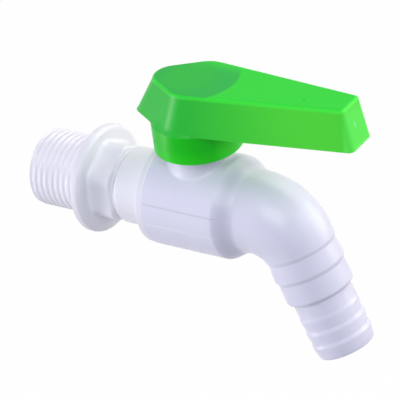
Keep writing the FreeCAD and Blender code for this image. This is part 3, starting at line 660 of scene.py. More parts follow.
@dataclass
class InletNipple:
    """The threaded half of the casing: shank, flange, hexagon, neck, collar and spigot."""

    thread_radius: float = 10.4775
    thread_end: float = -17.1
    thread_lead_in: float = 0.75
    thread_pitch: float = 1.814
    thread_depth: float = 0.33
    thread_runout: float = 3.4
    bore_radius: float = 6.2
    flange_radius: float = 14.8
    flange_end: float = 2.7
    flange_back_round: float = 0.6
    flange_front_round: float = 1.2
    hexagon_apothem: float = 10.05
    hexagon_end: float = 9.7
    hexagon_round: float = 3.5
    hexagon_easing: float = 0.5
    hexagon_foot_round: float = 1.2
    core_radius: float = 9.6
    neck_start: float = 10.5
    neck_radius: float = 10.4
    neck_edge_round: float = 1.2
    collar_start: float = 20.24
    collar_end: float = 22.24
    collar_radius: float = 13.8
    collar_round: float = 0.5
    spigot_radius: float = 10.65
    spigot_end: float = 25.74
    seal_groove: Triple = (23.115, 24.865, 9.17)
    cushion_groove: Triple = (24.54, 7.7, 8.9)
    thread_floor: float = 9.5
    outside_floor: float = 9.0
    columns: int = 216
    thread_rows_per_turn: int = 14
    longest_run: float = 0.9

    def profile(self) -> np.ndarray:
        """The closed half section as rows of (along, radius), from the bore's mouth over the outside.

        The threaded length gets its own even rows, enough of them for each turn of the thread.
        """
        groove_start, groove_end, groove_floor = self.seal_groove
        cushion_floor, cushion_inner, cushion_outer = self.cushion_groove
        quarter = np.linspace(0, math.pi / 2, 6)
        hexagon_edge = self.hexagon_end - self.hexagon_easing * (1 - np.sin(quarter))
        corners = np.array([
            (self.thread_end, self.bore_radius, 0.4),
            (self.thread_end, self.thread_radius - self.thread_lead_in, 0.25),
            (self.thread_end + self.thread_lead_in, self.thread_radius, 0.2),
            (0.0, self.thread_radius, 0.25),
            (0.0, self.flange_radius, self.flange_back_round),
            (self.flange_end, self.flange_radius, self.flange_front_round),
            (self.flange_end, self.core_radius, self.hexagon_foot_round),
            *((along, self.core_radius, 0.0) for along in hexagon_edge),
            (self.neck_start, self.core_radius, 0.15),
            (self.neck_start, self.neck_radius, self.neck_edge_round),
            (self.collar_start, self.neck_radius, 0.3),
            (self.collar_start, self.collar_radius, self.collar_round),
            (self.collar_end, self.collar_radius, 0.1),
            (self.collar_end, self.spigot_radius, 0.0),
            (groove_start, self.spigot_radius, 0.1),
            (groove_start, groove_floor, 0.2),
            (groove_end, groove_floor, 0.2),
            (groove_end, self.spigot_radius, 0.1),
            (self.spigot_end, self.spigot_radius, 0.3),
            (self.spigot_end, cushion_outer, 0.1),
            (cushion_floor, cushion_outer, 0.2),
            (cushion_floor, cushion_inner, 0.2),
            (self.spigot_end, cushion_inner, 0.1),
            (self.spigot_end, self.bore_radius, 0.3),
        ])
        outline = rounded_outline(corners)
        along, radius = outline.T
        thread = along[(along > self.thread_end) & (along < 0) & (radius > self.thread_floor)]
        low, high = thread.min(), thread.max()
        dense = with_short_runs(outline, self.longest_run)
        in_thread = (dense[:, 0] > low) & (dense[:, 0] < high) & (dense[:, 1] > self.thread_floor)
        first = int(np.argmax(in_thread))
        even = np.linspace(low, high, int((high - low) / self.thread_pitch * self.thread_rows_per_turn))
        stretch = np.column_stack([even, np.interp(even, *dense[in_thread].T)])
        return np.vstack([dense[:first], stretch, dense[first:][~in_thread[first:]]])

    def thread_cut(self, along: np.ndarray, angles: np.ndarray) -> np.ndarray:
        """How deep the thread is cut.

        The phase grows by one for each pitch along the axis and falls by one for each turn, which makes a
        right-hand helix. The flanks are a cosine drawn in at its crest, and the cut fades out at the flange.
        """
        phase = along / self.thread_pitch - angles / (2 * math.pi)
        wave = 0.5 - 0.5 * np.cos(2 * math.pi * phase)
        fade = 1 - blend(along, -self.thread_runout, -0.3 * self.thread_runout)
        return self.thread_depth * wave * fade

    def hexagon_radius(self, angles: np.ndarray) -> np.ndarray:
        """The hexagon's radius at each angle from a corner.

        Near the middle of a flat it is apothem / cos(angle from the flat). Past that it is the far side of a
        circle of the corner's round, whose centre lies on the line to the corner.
        """
        sector = math.pi / 3
        from_flat = np.abs((angles % sector) - sector / 2)
        inner = self.hexagon_apothem - self.hexagon_round
        centre = inner / math.cos(sector / 2)
        flat = self.hexagon_apothem / np.cos(from_flat)
        to_corner = sector / 2 - from_flat
        rounded = centre * np.cos(to_corner) + np.sqrt(
            np.maximum(self.hexagon_round**2 - (centre * np.sin(to_corner)) ** 2, 0)
        )
        on_flat = self.hexagon_apothem * np.tan(from_flat) <= inner * math.tan(sector / 2)
        return np.where(on_flat, flat, rounded)

    def make(self) -> Item:
        """Turns the profile, cuts the thread into it and swells it to the hexagon."""
        profile = self.profile()
        angles = full_turn(self.columns)
        along = np.repeat(profile[:, :1], self.columns, axis=1)
        radius = np.repeat(profile[:, 1:], self.columns, axis=1)
        outside = radius > self.outside_floor
        threaded = outside & (along < -NEAR)
        cut = self.thread_radius - self.thread_cut(along, angles)
        radius = np.where(threaded, np.minimum(radius, cut), radius)
        flange_flat = self.flange_radius - self.flange_front_round
        onto_face = np.clip((flange_flat - radius) / (flange_flat - self.core_radius), 0, 1)
        eased = np.clip((self.hexagon_end - along) / self.hexagon_easing, 0, 1)
        share = onto_face * np.sqrt(1 - (1 - eased) ** 2)
        swell = (self.hexagon_radius(angles) - self.core_radius) * share
        in_hexagon = outside & (along >= self.flange_end - NEAR) & (along < self.hexagon_end)
        radius = np.where(in_hexagon, radius + swell, radius)
        return solid("inlet_nipple_moulding", turned(np.stack([along, radius]), angles, TurnAxis.FLOW))


@dataclass(frozen=True)
class FlowPath:
    """The middle line of the casing: straight along X, round the bend, and straight down the spout."""

    bend_start: float = 50.84
    bend_radius: float = 12.5
    bend_angle: float = math.radians(68.3)

    @property
    def bend_end(self) -> float:
        """The place along the line where the bend ends."""
        return self.bend_start + self.bend_radius * self.bend_angle

    def place(self, along: np.ndarray, radius: np.ndarray, angle: np.ndarray) -> np.ndarray:
        """Points at a radius from the line, at an angle from its upper side.

        The line's point is the straight part, plus the bend's chord of the angle turned so far, plus the
        spout's straight part. The radius is laid off square to the line there.

        Returns:
            The points, as the arrays' common shape and 3.
        """
        turned_by = np.clip((along - self.bend_start) / self.bend_radius, 0, self.bend_angle)
        beyond = np.maximum(along - self.bend_end, 0)
        sine, cosine = np.sin(turned_by), np.cos(turned_by)
        x = np.minimum(along, self.bend_start) + self.bend_radius * sine + beyond * cosine
        z = -self.bend_radius * (1 - cosine) - beyond * sine
        up = radius * np.cos(angle)
        return np.stack([x + up * sine, radius * np.sin(angle) + 0 * x, z + up * cosine], axis=-1)


@dataclass
class Casing:
    """The one-piece body: barrel, shoulder, elbow, hose tail and stem boss, with its cavity and bores."""

    path: FlowPath = field(default_factory=FlowPath)
    barrel_start: float = 22.24
    barrel_end: float = 44.64
    barrel_radius: float = 14.0
    slope_end: float = 49.14
    elbow_start_radius: float = 11.2
    elbow_end_radius: float = 10.0
    elbow_fullness: float = 0.25
    cavity_radius: float = 10.7
    seat_wall: float = 42.94
    cushion_groove: Triple = (44.14, 7.7, 8.9)
    bore_radius: float = 5.7
    boss_radius: float = 8.7
    boss_top: float = 26.0
    boss_floor: float = 24.0
    boss_fillet: float = 1.2
    fillet_rows: int = 10
    rim_wall: float = 2.0
    stem_bore_radius: float = 5.0
    collar_seat_radius: float = 6.35
    collar_roof: float = 12.35
    gap_angles: tuple[float, float] = (165.4, 284.6)
    patch_half_angle: float = math.radians(48)
    patch_start: float = 23.8
    patch_end: float = 43.8
    patch_rows: int = 27
    patch_rings: int = 9
    cavity_patch: tuple[float, float] = (42.3, 26.0)
    cavity_bevel: float = 0.4
    elbow_rows: int = 36
    bore_rows: int = 24
    arc_step: float = math.radians(12)
    part_lines: tuple[float, ...] = (-PARTING_DEGREES, PARTING_DEGREES)
    part_line_depth: float = 0.04
    part_line_half_width: float = 0.7
    part_line_fade: tuple[float, float] = (48.0, 56.0)
    # The hose tail's outside as (distance past the bend, radius, round): two rings, three barbs and the tip.
    tail: tuple[Triple, ...] = (
        (0.2, 10.0, 0.8), (1.15, 9.56, 0.6), (6.2, 9.95, 0.8), (7.3, 9.35, 0.7), (13.25, 9.55, 1.0),
        (13.85, 8.2, 0.7), (17.8, 8.2, 0.5), (18.9, 8.4, 0.9), (21.8, 8.09, 0.5), (22.9, 8.4, 0.9),
        (25.8, 8.09, 0.5), (26.9, 8.4, 0.9), (30.65, 7.75, 0.7),
    )

    def profile(self) -> np.ndarray:
        """The closed half section as rows of (along, radius): the outside, then the bore and the cavity."""
        elbow = np.linspace(self.path.bend_start, self.path.bend_end, self.elbow_rows)
        share = (elbow - elbow[0]) / (elbow[-1] - elbow[0])
        taper = self.elbow_start_radius + (self.elbow_end_radius - self.elbow_start_radius) * share
        full = taper + self.elbow_fullness * np.sin(math.pi * share) ** 2
        tail = np.array(self.tail) + [self.path.bend_end, 0, 0]
        floor, inner, outer = self.cushion_groove
        wall, bevel = self.seat_wall, self.cavity_bevel

        def straight(radius: float, start: float, end: float, rows: int) -> np.ndarray:
            """Rows along a plain length."""
            return np.column_stack([np.linspace(start, end, rows), np.full(rows, radius), np.zeros(rows)])

        parts = [
            [(self.barrel_start, self.barrel_radius, 0.3)],
            straight(self.barrel_radius, self.patch_start, self.patch_end, self.patch_rows),
            [(self.barrel_end, self.barrel_radius, 1.6), (self.slope_end, self.elbow_start_radius, 3.0)],
            np.column_stack([elbow, full, 0 * elbow]),
            tail,
            [(tail[-1, 0], self.bore_radius, 0.3)],
            straight(self.bore_radius, self.path.bend_end, self.path.bend_start, self.bore_rows),
            [(wall, self.bore_radius, 0.2), (wall, inner, 0.1), (floor, inner, 0.2),
             (floor, outer, 0.2), (wall, outer, 0.1), (wall, self.cavity_radius, 0.15)],
            straight(self.cavity_radius, *self.cavity_patch, self.patch_rows + 3),
            [(self.barrel_start + bevel, self.cavity_radius, 0),
             (self.barrel_start, self.cavity_radius + bevel, 0)],
        ]
        return rounded_outline(np.vstack(parts), self.arc_step)

    def angles(self) -> np.ndarray:
        """Angles round the line, two degrees apart, and closer together at the parting lines."""
        even = np.arange(-180, 180, 2.0)
        near = np.array([-2, -1.3, -1, -0.7, -0.35, 0, 0.35, 0.7, 1, 1.3, 2]) * self.part_line_half_width
        lines = (np.array(self.part_lines)[:, None] + near).ravel()
        clear = np.abs(even[:, None] - lines).min(axis=1) > 0.5
        return np.radians(np.sort(np.concatenate([even[clear], lines])))

    def part_line_cut(self, along: np.ndarray, angles: np.ndarray) -> np.ndarray:
        """A shallow line along each side of the barrel, fading out on the elbow."""
        fade = blend(along, self.barrel_start, self.barrel_start + 1)
        fade = fade * (1 - blend(along, *self.part_line_fade))
        offsets = [(np.degrees(angles) - line) / self.part_line_half_width for line in self.part_lines]
        return self.part_line_depth * fade * sum(np.exp(-offset**2) for offset in offsets)

    def make(self) -> Item:
        """Sweeps the profile along the flow path and grows the boss out of two holes in the sweep."""
        profile = self.profile()
        angles = self.angles()
        along = np.repeat(profile[:, :1], len(angles), axis=1)
        radius = np.repeat(profile[:, 1:], len(angles), axis=1)
        tip_row = int(np.argmax(profile[:, 0]))
        outside = (np.arange(len(profile)) < tip_row)[:, None]
        radius = radius - np.where(outside, self.part_line_cut(along, angles), 0)
        keep = np.ones(along.shape, bool)
        columns = np.flatnonzero(np.abs(angles) <= self.patch_half_angle + 1e-6)
        first_outer = int(np.argmin(np.abs(profile[:tip_row, 0] - self.patch_start)))
        corner = (self.cavity_patch[0], self.cavity_radius)
        first_inner = tip_row + int(np.argmin(np.abs(profile[tip_row:] - corner).sum(axis=1)))
        cells = self.patch_rows + 2
        surface = Surface()
        for first in (first_outer, first_inner):
            keep[first:first + cells, columns[0]:columns[-1]] = False
        surface.add_grid(self.path.place(along, radius, angles), close_rows=True, keep=keep)
        outer_rows = profile[first_outer:first_outer + cells + 1]
        inner_rows = profile[first_inner:first_inner + cells + 1]
        for grid in self.boss_grids(outer_rows, inner_rows, angles[columns]):
            surface.add_grid(grid)
        return surface.to_object("casing_moulding")

    def boss_grids(self, outer: np.ndarray, inner: np.ndarray, angles: np.ndarray) -> list[np.ndarray]:
        """The patch of barrel round the boss, the boss with its bore, and the patch of cavity below it.

        The boss's foot is the path of a ball of the fillet's radius that rolls along both the barrel and the
        boss: its middle lies boss + fillet from the stem axis and barrel + fillet from the flow axis, and the
        fillet is the short arc between the two points where it touches.
        """
        rim_along, rim_angle = once_round(outer[:, 0], angles)
        rim_side = np.interp(rim_along, outer[:, 0], outer[:, 1]) * np.sin(rim_angle)
        turn = np.arctan2(rim_side, rim_along - STEM_PLACE)
        grown = self.barrel_radius + self.boss_fillet
        middle = crossing(self.boss_radius + self.boss_fillet, grown, turn)
        to_barrel = -np.stack([0 * turn, middle[:, 1], middle[:, 2]], axis=-1) / grown
        to_boss = -np.stack([np.cos(turn), np.sin(turn), 0 * turn], axis=-1)
        spread = np.arccos((to_barrel * to_boss).sum(axis=1))[:, None]
        steps = np.linspace(0, 1, self.fillet_rows)[:, None, None]
        arc = (np.sin((1 - steps) * spread) * to_barrel + np.sin(steps * spread) * to_boss) / np.sin(spread)
        fillet = middle + self.boss_fillet * arc
        outer_patch = self.patch((rim_along, rim_angle), fillet[0], outer)

        gap_start, gap_end = self.gap_angles
        degrees = np.degrees(turn) % 360
        rim_drop = np.where((degrees > gap_start) & (degrees < gap_end), self.boss_top - self.boss_floor, 0)
        inner_wall = self.boss_radius - self.rim_wall
        corners = np.array([
            (self.boss_radius, self.boss_floor - 1, 0), (self.boss_radius, self.boss_top, 0.3),
            (inner_wall, self.boss_top, 0.3), (inner_wall, self.boss_floor, 0.1),
            (self.stem_bore_radius, self.boss_floor, 0.25), (self.stem_bore_radius, self.collar_roof, 0.1),
            (self.collar_seat_radius, self.collar_roof, 0),
        ])
        rim = rounded_outline(corners)
        dropped = rim[:, 1, None] - rim_drop * (rim[:, 1, None] > self.boss_floor + NEAR)
        upper = turned(np.stack([dropped, np.repeat(rim[:, :1], len(turn), axis=1)]), turn, TurnAxis.STEM)
        inner_foot = crossing(self.collar_seat_radius, self.cavity_radius, turn)
        boss = np.concatenate([fillet, upper, inner_foot[None]], axis=0)
        boss[..., 0] += STEM_PLACE

        inner_patch = self.patch(once_round(inner[::-1, 0], angles), inner_foot, inner[::-1])
        return [outer_patch, boss, inner_patch]

    def patch(self, rim: tuple[np.ndarray, np.ndarray], hole: np.ndarray, rows: np.ndarray) -> np.ndarray:
        """Rings of points on the turned surface, from a rectangle of the sweep in to a round hole.

        Args:
            rim: The rectangle's places along the line and its angles round it.
            hole: The hole's points, before the stem's place is added.
            rows: The surface's own rows of (along, radius), which give the radius anywhere between them.

        Returns:
            The rings, as (rings, points, 3).
        """
        share = np.linspace(0, 1, self.patch_rings)[:, None]
        rim_along, rim_angle = rim
        along = rim_along + (hole[:, 0] + STEM_PLACE - rim_along) * share
        angle = rim_angle + (np.arctan2(hole[:, 1], hole[:, 2]) - rim_angle) * share
        return self.path.place(along, np.interp(along, rows[:, 0], rows[:, 1]), angle)


def crossing(upright_radius: float, level_radius: float, turn: np.ndarray) -> np.ndarray:
    """Where an upright cylinder about the stem axis meets a level one about the flow axis, above it.

    The height is the root of the level radius squared less the sideways reach squared.
    """
    x, y = upright_radius * np.cos(turn), upright_radius * np.sin(turn)
    return np.stack([x, y, np.sqrt(level_radius**2 - y**2)], axis=-1)


def once_round(along: np.ndarray, angle: np.ndarray) -> tuple[np.ndarray, np.ndarray]:
    """The grid points met on going once round a rectangle of the grid, as places and angles."""
    low, high = along[0], along[-1]
    places = np.concatenate([
        np.full(len(angle) - 1, low), along[:-1], np.full(len(angle) - 1, high), along[:0:-1]
    ])
    turns = np.concatenate([
        angle[:-1], np.full(len(along) - 1, angle[-1]), angle[:0:-1], np.full(len(along) - 1, angle[0])
    ])
    return places, turns


# Valve inside the barrel

RING_COLUMNS = 96


@dataclass
class ValveBall:
    """The ball with its through bore and the slot that the stem's tang turns it by."""

    radius: float = 9.5
    bore_radius: float = 5.5
    slot_width: float = 4.1
    slot_floor: float = 7.0
    slot_top: float = 12.0
    arc_points: int = 49
    bore_points: int = 15

    def make(self) -> Item:
        """Turns an arc and the bore's wall about the bore's axis, then cuts the slot."""
        half_bore = math.sqrt(self.radius**2 - self.bore_radius**2)
        limit = math.asin(half_bore / self.radius)
        arc = np.linspace(-limit, limit, self.arc_points)
        outside = np.column_stack([np.sin(arc), np.cos(arc)]) * self.radius
        bore_places = np.linspace(half_bore, -half_bore, self.bore_points + 2)[1:-1]
        bore = np.column_stack([bore_places, np.full(self.bore_points, self.bore_radius)])
        grid = turned(np.vstack([outside, bore]), full_turn(RING_COLUMNS), TurnAxis.FLOW)
        ball = solid("valve_ball", turned_with_lever(grid))
        half = self.slot_width / 2
        low, high = (-half, -self.radius, self.slot_floor), (half, self.radius, self.slot_top)
        cutter = block("slot_cutter", low, high)
        return combined(ball, [cutter], Combine.CUT)


@dataclass
class SealRing:
    """A ring of round section: a seal in its groove or a cushion behind a seat."""

    name: str
    mean_radius: float
    section_radius: float
    place: float
    axis: TurnAxis
    section_points: int = 20

    def make(self) -> Item:
        """Turns a circle about the ring's axis."""
        around = full_turn(self.section_points)
        section = np.column_stack([
            self.place + self.section_radius * np.cos(around),
            self.mean_radius + self.section_radius * np.sin(around),
        ])
        grid = turned(section, full_turn(RING_COLUMNS), self.axis)
        if self.axis is TurnAxis.STEM:
            grid[..., 0] += STEM_PLACE
        return solid(self.name, grid)


@dataclass
class BallSeat:
    """A seat ring whose front is hollowed to the ball."""

    name: str
    side: int
    back: float = 8.6
    front: float = 5.2
    outer_radius: float = 10.62
    bore_radius: float = 5.9
    hollow_radius: float = 9.55
    hollow_points: int = 12
    edge: float = 0.2

    def make(self) -> Item:
        """Turns the section: a block with a bore whose front corner is an arc about the ball's middle."""
        first = math.asin(self.bore_radius / self.hollow_radius)
        last = math.acos(self.front / self.hollow_radius)
        arc = np.linspace(first, last, self.hollow_points)
        hollow = np.column_stack([np.cos(arc), np.sin(arc)]) * self.hollow_radius
        rest = np.array([
            (self.front, self.outer_radius - self.edge), (self.front + self.edge, self.outer_radius),
            (self.back - self.edge, self.outer_radius), (self.back, self.outer_radius - self.edge),
            (self.back, self.bore_radius),
        ])
        section = np.vstack([hollow, rest])
        section[:, 0] = STEM_PLACE + self.side * section[:, 0]
        return solid(self.name, turned(section, full_turn(RING_COLUMNS), TurnAxis.FLOW))


# Handle


@dataclass(frozen=True)
class LeverOutline:
    """The lever's outline at one height: a pointed nose, two round corners and a square end."""

    tip: float
    nose_round: float
    corner_round: float
    end: float
    end_half_width: float
    end_round: float


@dataclass
class LeverHandle:
    """The hollow lever with its hub, drive socket, stop rib and stiffening rib, in one moulding."""

    top: LeverOutline = LeverOutline(-15.3, 5.4, 8.5, 48.1, 4.7, 1.4)
    bottom: LeverOutline = LeverOutline(-20.2, 3.2, 9.0, 50.0, 5.2, 1.8)
    nose_angle: float = math.radians(33.2)
    side_taper: float = math.radians(7.1)
    lever_bottom: float = 25.5
    lever_top: float = 37.3
    wall: float = 1.9
    roof: float = 35.3
    top_edge_round: float = 0.9
    rim_round: float = 0.3
    hollow_round: float = 0.5
    least_round: float = 0.5
    arc_points: int = 13
    side_points: int = 20
    hub_radius: float = 11.95
    hub_inner_radius: float = 10.0
    hub_bottom: float = 17.3
    hub_shoulder_height: float = 2.4
    hub_shoulder_depth: float = 1.6
    web_wall: float = 1.05
    web_half_angle: float = math.radians(55)
    web_columns: int = 60
    socket_radius: float = 6.2
    socket_base: float = 24.3
    square_half: float = 3.45
    square_top: float = 34.0
    socket_bevel: float = 0.3
    rib_half_width: float = 0.8
    rib_bottom: float = 28.0
    rib_end: float = 47.15
    stop_half_width: float = 1.5
    stop_height: float = 6.0
    stop_overlap: float = 0.95
    overlap: float = 1.0
    hub_columns: int = 180

    def outline(self, share: float, inset: float) -> np.ndarray:
        """The outline between the bottom (0) and the top (1), drawn in by an inset that follows its walls.

        The corners lie where the nose walls, at the nose angle, meet the side walls, at the side taper.
        Every outline has as many points as the others, so that they join into one grid.
        """
        low, high = self.bottom, self.top

        def between(name: str) -> float:
            """A size of the outline at this height."""
            return getattr(low, name) * (1 - share) + getattr(high, name) * share

        nose, taper = math.tan(self.nose_angle), math.tan(self.side_taper)
        tip = between("tip") + inset / math.sin(self.nose_angle)
        end = between("end") - inset
        end_half = between("end_half_width") + inset * taper - inset / math.cos(self.side_taper)
        corner = (end_half + taper * end + nose * tip) / (nose + taper)
        corner_half = nose * (corner - tip)
        rounds = [between(f"{part}_round") - inset for part in ("nose", "corner", "end")]
        places = np.array([
            (tip, 0.0), (corner, -corner_half), (end, -end_half), (end, end_half), (corner, corner_half)
        ])
        radii = np.maximum(rounds, self.least_round)[[0, 1, 2, 2, 1]]
        back, ahead, half = corner_sides(places)
        bisector = (back + ahead) / np.linalg.norm(back + ahead, axis=1, keepdims=True)
        centre = places + bisector * (radii / np.sin(half))[:, None]
        start = np.arctan2(-bisector[:, 1], -bisector[:, 0])[:, None]
        swing = (math.pi / 2 - half)[:, None] * np.linspace(-1, 1, self.arc_points)
        angles = start + swing
        arcs = centre[:, None] + radii[:, None, None] * np.stack([np.cos(angles), np.sin(angles)], axis=-1)
        run = np.linspace(0, 1, self.side_points)[1:-1, None]
        joins = arcs[:, None, -1] + (np.roll(arcs[:, 0], -1, axis=0)[:, None] - arcs[:, None, -1]) * run
        return np.concatenate([arcs, joins], axis=1).reshape(-1, 2)

    def shell(self) -> Item:
        """The lever's shell: up the outside, over the rounded top edge, and up the hollow to the roof.

        Each row is one outline at a height, with a share of the way from bottom to top and an inset.
        """
        quarter = np.linspace(0, math.pi / 2, 8)
        spring = self.lever_top - self.top_edge_round
        rim, edge = self.rim_round, self.top_edge_round
        hollow_foot, hollow_round = self.lever_bottom + rim, self.hollow_round

        def flank(z: np.ndarray) -> np.ndarray:
            """The share of the way up at a height of the outer wall."""
            return np.clip((z - self.lever_bottom) / (spring - self.lever_bottom), 0, 1)

        outer_z = np.linspace(hollow_foot, spring, 14)
        inner_z = np.linspace(hollow_foot, self.roof - hollow_round, 10)
        rows = [
            *((self.lever_top, 1.0, edge + extra) for extra in (1.2, 0.4)),
            *((spring + edge * math.sin(a), 1.0, edge - edge * math.cos(a)) for a in quarter[::-1]),
            *((z, flank(z), 0.0) for z in outer_z[::-1][1:]),
            *((hollow_foot - rim * math.sin(a), 0.0, rim - rim * math.cos(a)) for a in quarter[1:]),
            *((hollow_foot - rim * math.sin(a), 0.0, self.wall - rim + rim * math.cos(a))
              for a in quarter[::-1]),
            *((z, (z - self.lever_bottom) / (self.roof - self.lever_bottom), self.wall) for z in inner_z[1:]),
            *((self.roof - hollow_round * (1 - math.sin(a)), 1.0 - 0.05 * math.cos(a),
               self.wall + hollow_round * (1 - math.cos(a))) for a in quarter[1:]),
            (self.roof, 1.0, self.wall + 1.0),
        ]
        grid = np.stack([np.insert(self.outline(share, inset), 2, z, axis=1) for z, share, inset in rows])
        return solid("lever_handle_moulding", turned_with_lever(grid), capped=True)

    def hub(self) -> Item:
        """The round skirt below the lever, with its sloping shoulder."""
        shoulder_top = self.lever_bottom + self.hub_shoulder_height
        corners = np.array([
            (self.hub_bottom, self.hub_radius, 0.4), (self.lever_bottom, self.hub_radius, 0.5),
            (shoulder_top, self.hub_radius - self.hub_shoulder_depth, 0.05),
            (shoulder_top, self.hub_inner_radius, 0.05), (self.hub_bottom, self.hub_inner_radius, 0.4),
        ])
        grid = turned(rounded_outline(corners), full_turn(self.hub_columns), TurnAxis.STEM)
        return solid("hub_skirt", turned_with_lever(grid))

    def web(self) -> Item:
        """The wall that carries the skirt up to the roof inside the lever."""
        low, high = self.lever_bottom - self.overlap, self.roof + self.overlap
        inner, outer = self.hub_inner_radius, self.hub_inner_radius + self.web_wall
        ring = np.array([(low, inner), (low, outer), (high, outer), (high, inner)])
        angles = np.linspace(-self.web_half_angle, self.web_half_angle, self.web_columns)
        grid = np.transpose(turned(ring, angles, TurnAxis.STEM), (1, 0, 2))
        return solid("hub_web", turned_with_lever(grid), capped=True)

    def socket(self) -> Item:
        """The round post with its square hole.

        A square's radius at an angle is its half width over the larger of the angle's sine and cosine.
        """
        angles = full_turn(RING_COLUMNS)
        square = self.square_half / np.maximum(np.abs(np.cos(angles)), np.abs(np.sin(angles)))
        base, bevel = self.socket_base, self.socket_bevel
        rows = (
            (self.roof + self.overlap, self.socket_radius), (base + bevel, self.socket_radius),
            (base, self.socket_radius - bevel), (base, square + bevel), (base + bevel, square),
            (self.square_top, square),
        )
        section = [np.broadcast_arrays(height, radius + 0 * angles) for height, radius in rows]
        grid = turned(np.stack(section, axis=1), angles, TurnAxis.STEM)
        return solid("drive_socket", turned_with_lever(grid), capped=True)

    def make(self) -> Item:
        """Joins the shell, skirt, web, socket and ribs into one moulding."""
        rib_start = self.hub_inner_radius + self.web_wall / 2
        stop_start = -self.hub_inner_radius - self.stop_overlap
        stop_end = -self.socket_radius + self.stop_overlap
        parts = [
            self.hub(),
            self.web(),
            self.socket(),
            block("lever_rib", (rib_start, -self.rib_half_width, self.rib_bottom),
                  (self.rib_end, self.rib_half_width, self.roof + self.overlap)),
            block("stop_rib", (stop_start, -self.stop_half_width, self.socket_base),
                  (stop_end, self.stop_half_width, self.socket_base + self.stop_height)),
        ]
        return combined(self.shell(), parts, Combine.JOIN)


# Studio


@dataclass(frozen=True)
class Lamp:
    """A soft rectangular lamp."""

    name: str
    place: Triple
    size: tuple[float, float]
    power: float
    colour: Triple = (1.0, 1.0, 1.0)

    def make(self, target: Vector) -> None:
        """Adds the lamp, aimed at the target."""
        data = bpy.data.lights.new(self.name, "AREA")
        data.shape = "RECTANGLE"
        data.size, data.size_y = self.size
        data.energy = self.power
        data.color = self.colour
        lamp = placed(self.name, data)
        lamp.location = self.place
        lamp.rotation_euler = (target - lamp.location).to_track_quat("-Z", "Y").to_euler()


def mixed(tree: Tree, share: Socket, first: Socket, second: Socket) -> Socket:
    """Two shaders mixed: the first where the share is 0 and the second where it is 1."""
    return add_node(tree, "ShaderNodeMixShader", {0: share, 1: first, 2: second}).outputs[0]


def seen_directly(tree: Tree) -> Socket:
    """1 for rays from the camera, reflections and glass, and 0 for soft light."""
    rays = add_node(tree, "ShaderNodeLightPath").outputs
    shiny = arithmetic(tree, "MAXIMUM", rays["Is Glossy Ray"], rays["Is Transmission Ray"])
    return arithmetic(tree, "MAXIMUM", rays["Is Camera Ray"], shiny)


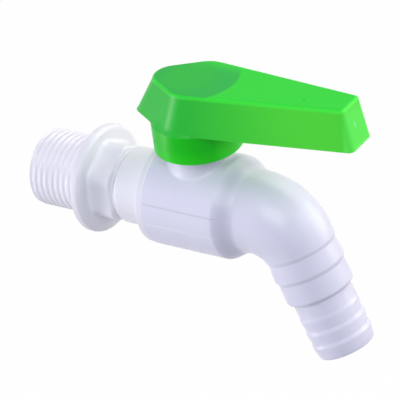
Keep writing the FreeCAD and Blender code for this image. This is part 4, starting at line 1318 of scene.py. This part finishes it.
@dataclass
class Studio:
    """The white surroundings, the lamps, the floor and the camera."""

    fill_colour: Triple = (0.625, 0.625, 1.0)
    fill_strength: float = 0.32
    floor_level: float = -0.3
    floor_size: float = 3.0
    floor_share: float = 0.01
    target: Triple = (0.036, 0.0, 0.0)
    lamps: tuple[Lamp, ...] = (
        Lamp("top_lamp", (0.036, 0.45, 0.62), (0.5, 0.5), 1.5, (1.0, 0.97, 0.75)),
        Lamp("spout_side_lamp", (0.565, 0.216, 0.56), (0.6, 0.6), 1.85, (1.0, 0.92, 1.0)),
        Lamp("far_side_lamp", (0.55, 0.55, 0.2), (0.5, 0.5), 2.45, (1.0, 1.0, 0.87)),
        Lamp("near_side_lamp", (0.25, -0.55, 0.55), (0.5, 0.5), 3.15, (0.95, 1.0, 0.97)),
        Lamp("wall_side_lamp", (-0.564, -0.477, 0.228), (0.5, 0.5), 0.8, (0.95, 0.85, 1.0)),
        Lamp("nose_lamp", (-0.531, -0.374, -0.163), (0.16, 0.42), 2.0),
    )
    view_right: Triple = (0.82758764, 0.54783724, -0.12236447)
    view_up: Triple = (-0.18405895, 0.47077144, 0.86284214)
    view_back: Triple = (0.53030275, -0.69155521, 0.49043897)
    view_distance: float = 1.085154
    view_aside: tuple[float, float] = (-0.0019754, 0.0000323)
    view_centre: Triple = (0.0344, 0.0, 0.0)
    focal_length: float = 368.0
    sensor_width: float = 36.0

    def make_world(self) -> None:
        """A tinted fill light that the camera, reflections and glass see as plain white."""
        world = bpy.data.worlds.new("white_surroundings")
        bpy.context.scene.world = world
        world.use_nodes = True
        tree = world.node_tree
        tree.nodes.clear()
        inputs = {"Color": (*self.fill_colour, 1.0), "Strength": self.fill_strength}
        fill = add_node(tree, "ShaderNodeBackground", inputs)
        white = add_node(tree, "ShaderNodeBackground", {"Color": (1.0, 1.0, 1.0, 1.0)})
        surface = mixed(tree, seen_directly(tree), fill.outputs[0], white.outputs[0])
        add_node(tree, "ShaderNodeOutputWorld", {"Surface": surface})

    def make_floor(self) -> None:
        """A white floor that keeps a faint shadow and is clear from below."""
        half = self.floor_size / 2
        ends = np.array([(-half, -half), (half, -half), (half, half), (-half, half)])
        mesh = bpy.data.meshes.new("floor")
        mesh.from_pydata(np.column_stack([ends, np.full(4, self.floor_level)]).tolist(), [], [[0, 1, 2, 3]])
        material = bpy.data.materials.new("floor_white")
        material.use_nodes = True
        tree = material.node_tree
        tree.nodes.clear()
        cloth = add_node(tree, "ShaderNodeBsdfDiffuse", {"Color": (0.6, 0.6, 0.6, 1.0)})
        glow = add_node(tree, "ShaderNodeEmission", {"Strength": 1.0})
        clear = add_node(tree, "ShaderNodeBsdfTransparent")
        share = arithmetic(tree, "MULTIPLY", seen_directly(tree), 1.0 - self.floor_share)
        lit = mixed(tree, share, cloth.outputs[0], glow.outputs[0])
        below = add_node(tree, "ShaderNodeNewGeometry").outputs["Backfacing"]
        add_node(tree, "ShaderNodeOutputMaterial", {"Surface": mixed(tree, below, lit, clear.outputs[0])})
        mesh.materials.append(material)
        floor = placed("floor", mesh)

    def make_camera(self) -> None:
        """The camera at the photograph's viewing angle: a long lens about a metre away."""
        data = bpy.data.cameras.new("camera")
        data.lens = self.focal_length
        data.sensor_width = self.sensor_width
        data.clip_start, data.clip_end = 0.01, 20.0
        camera = placed("camera", data)
        right, up, back = Vector(self.view_right), Vector(self.view_up), Vector(self.view_back)
        place = Vector(self.view_centre) + back * self.view_distance
        place += right * self.view_aside[0] + up * self.view_aside[1]
        camera.matrix_world = Matrix.Translation(place) @ Matrix((right, up, back)).transposed().to_4x4()
        bpy.context.scene.camera = camera

    def make(self) -> None:
        """Sets up the whole studio."""
        self.make_world()
        for lamp in self.lamps:
            lamp.make(Vector(self.target))
        self.make_floor()
        self.make_camera()
        bpy.context.scene.view_settings.view_transform = "Standard"


def main() -> None:
    """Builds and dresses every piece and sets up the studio."""
    logging.basicConfig(level=logging.INFO, format="%(name)s: %(message)s")
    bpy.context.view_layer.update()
    fitter = Fitter(Workshop())
    casing, lever = Body.CASING, Body.LEVER
    fitter.fit(InletNipple().make(), "inlet_nipple", casing, NIPPLE_PAINTED_LIGHTER)
    fitter.fit(Casing().make(), "body", casing, WHITE)
    for seat in (BallSeat("inlet_ball_seat", -1), BallSeat("outlet_ball_seat", 1)):
        fitter.fit(seat.make(), seat.name.replace("_ball", ""), casing, SEAT)
    for node, body, ring in (
        ("inlet_seat_cushion", casing, SealRing("inlet_cushion_ring", 8.3, 0.57, 25.14, TurnAxis.FLOW)),
        ("outlet_seat_cushion", casing, SealRing("outlet_cushion_ring", 8.3, 0.57, 43.54, TurnAxis.FLOW)),
        ("nipple_oring", casing, SealRing("nipple_seal_ring", 9.92, 0.72, 23.99, TurnAxis.FLOW)),
        ("lower_stem_oring", lever, SealRing("lower_stem_seal_ring", 4.32, 0.635, 14.9, TurnAxis.STEM)),
        ("upper_stem_oring", lever, SealRing("upper_stem_seal_ring", 4.32, 0.635, 19.3, TurnAxis.STEM)),
    ):
        fitter.fit(ring.make(), node, body, RUBBER)
    fitter.fit(ValveBall().make(), "ball", lever, BALL)
    fitter.fit(LeverHandle().make(), "handle", lever, GREEN)
    fitter.dress_node("stem", STEM)
    Studio().make()


if __name__ == "__main__":
    main()
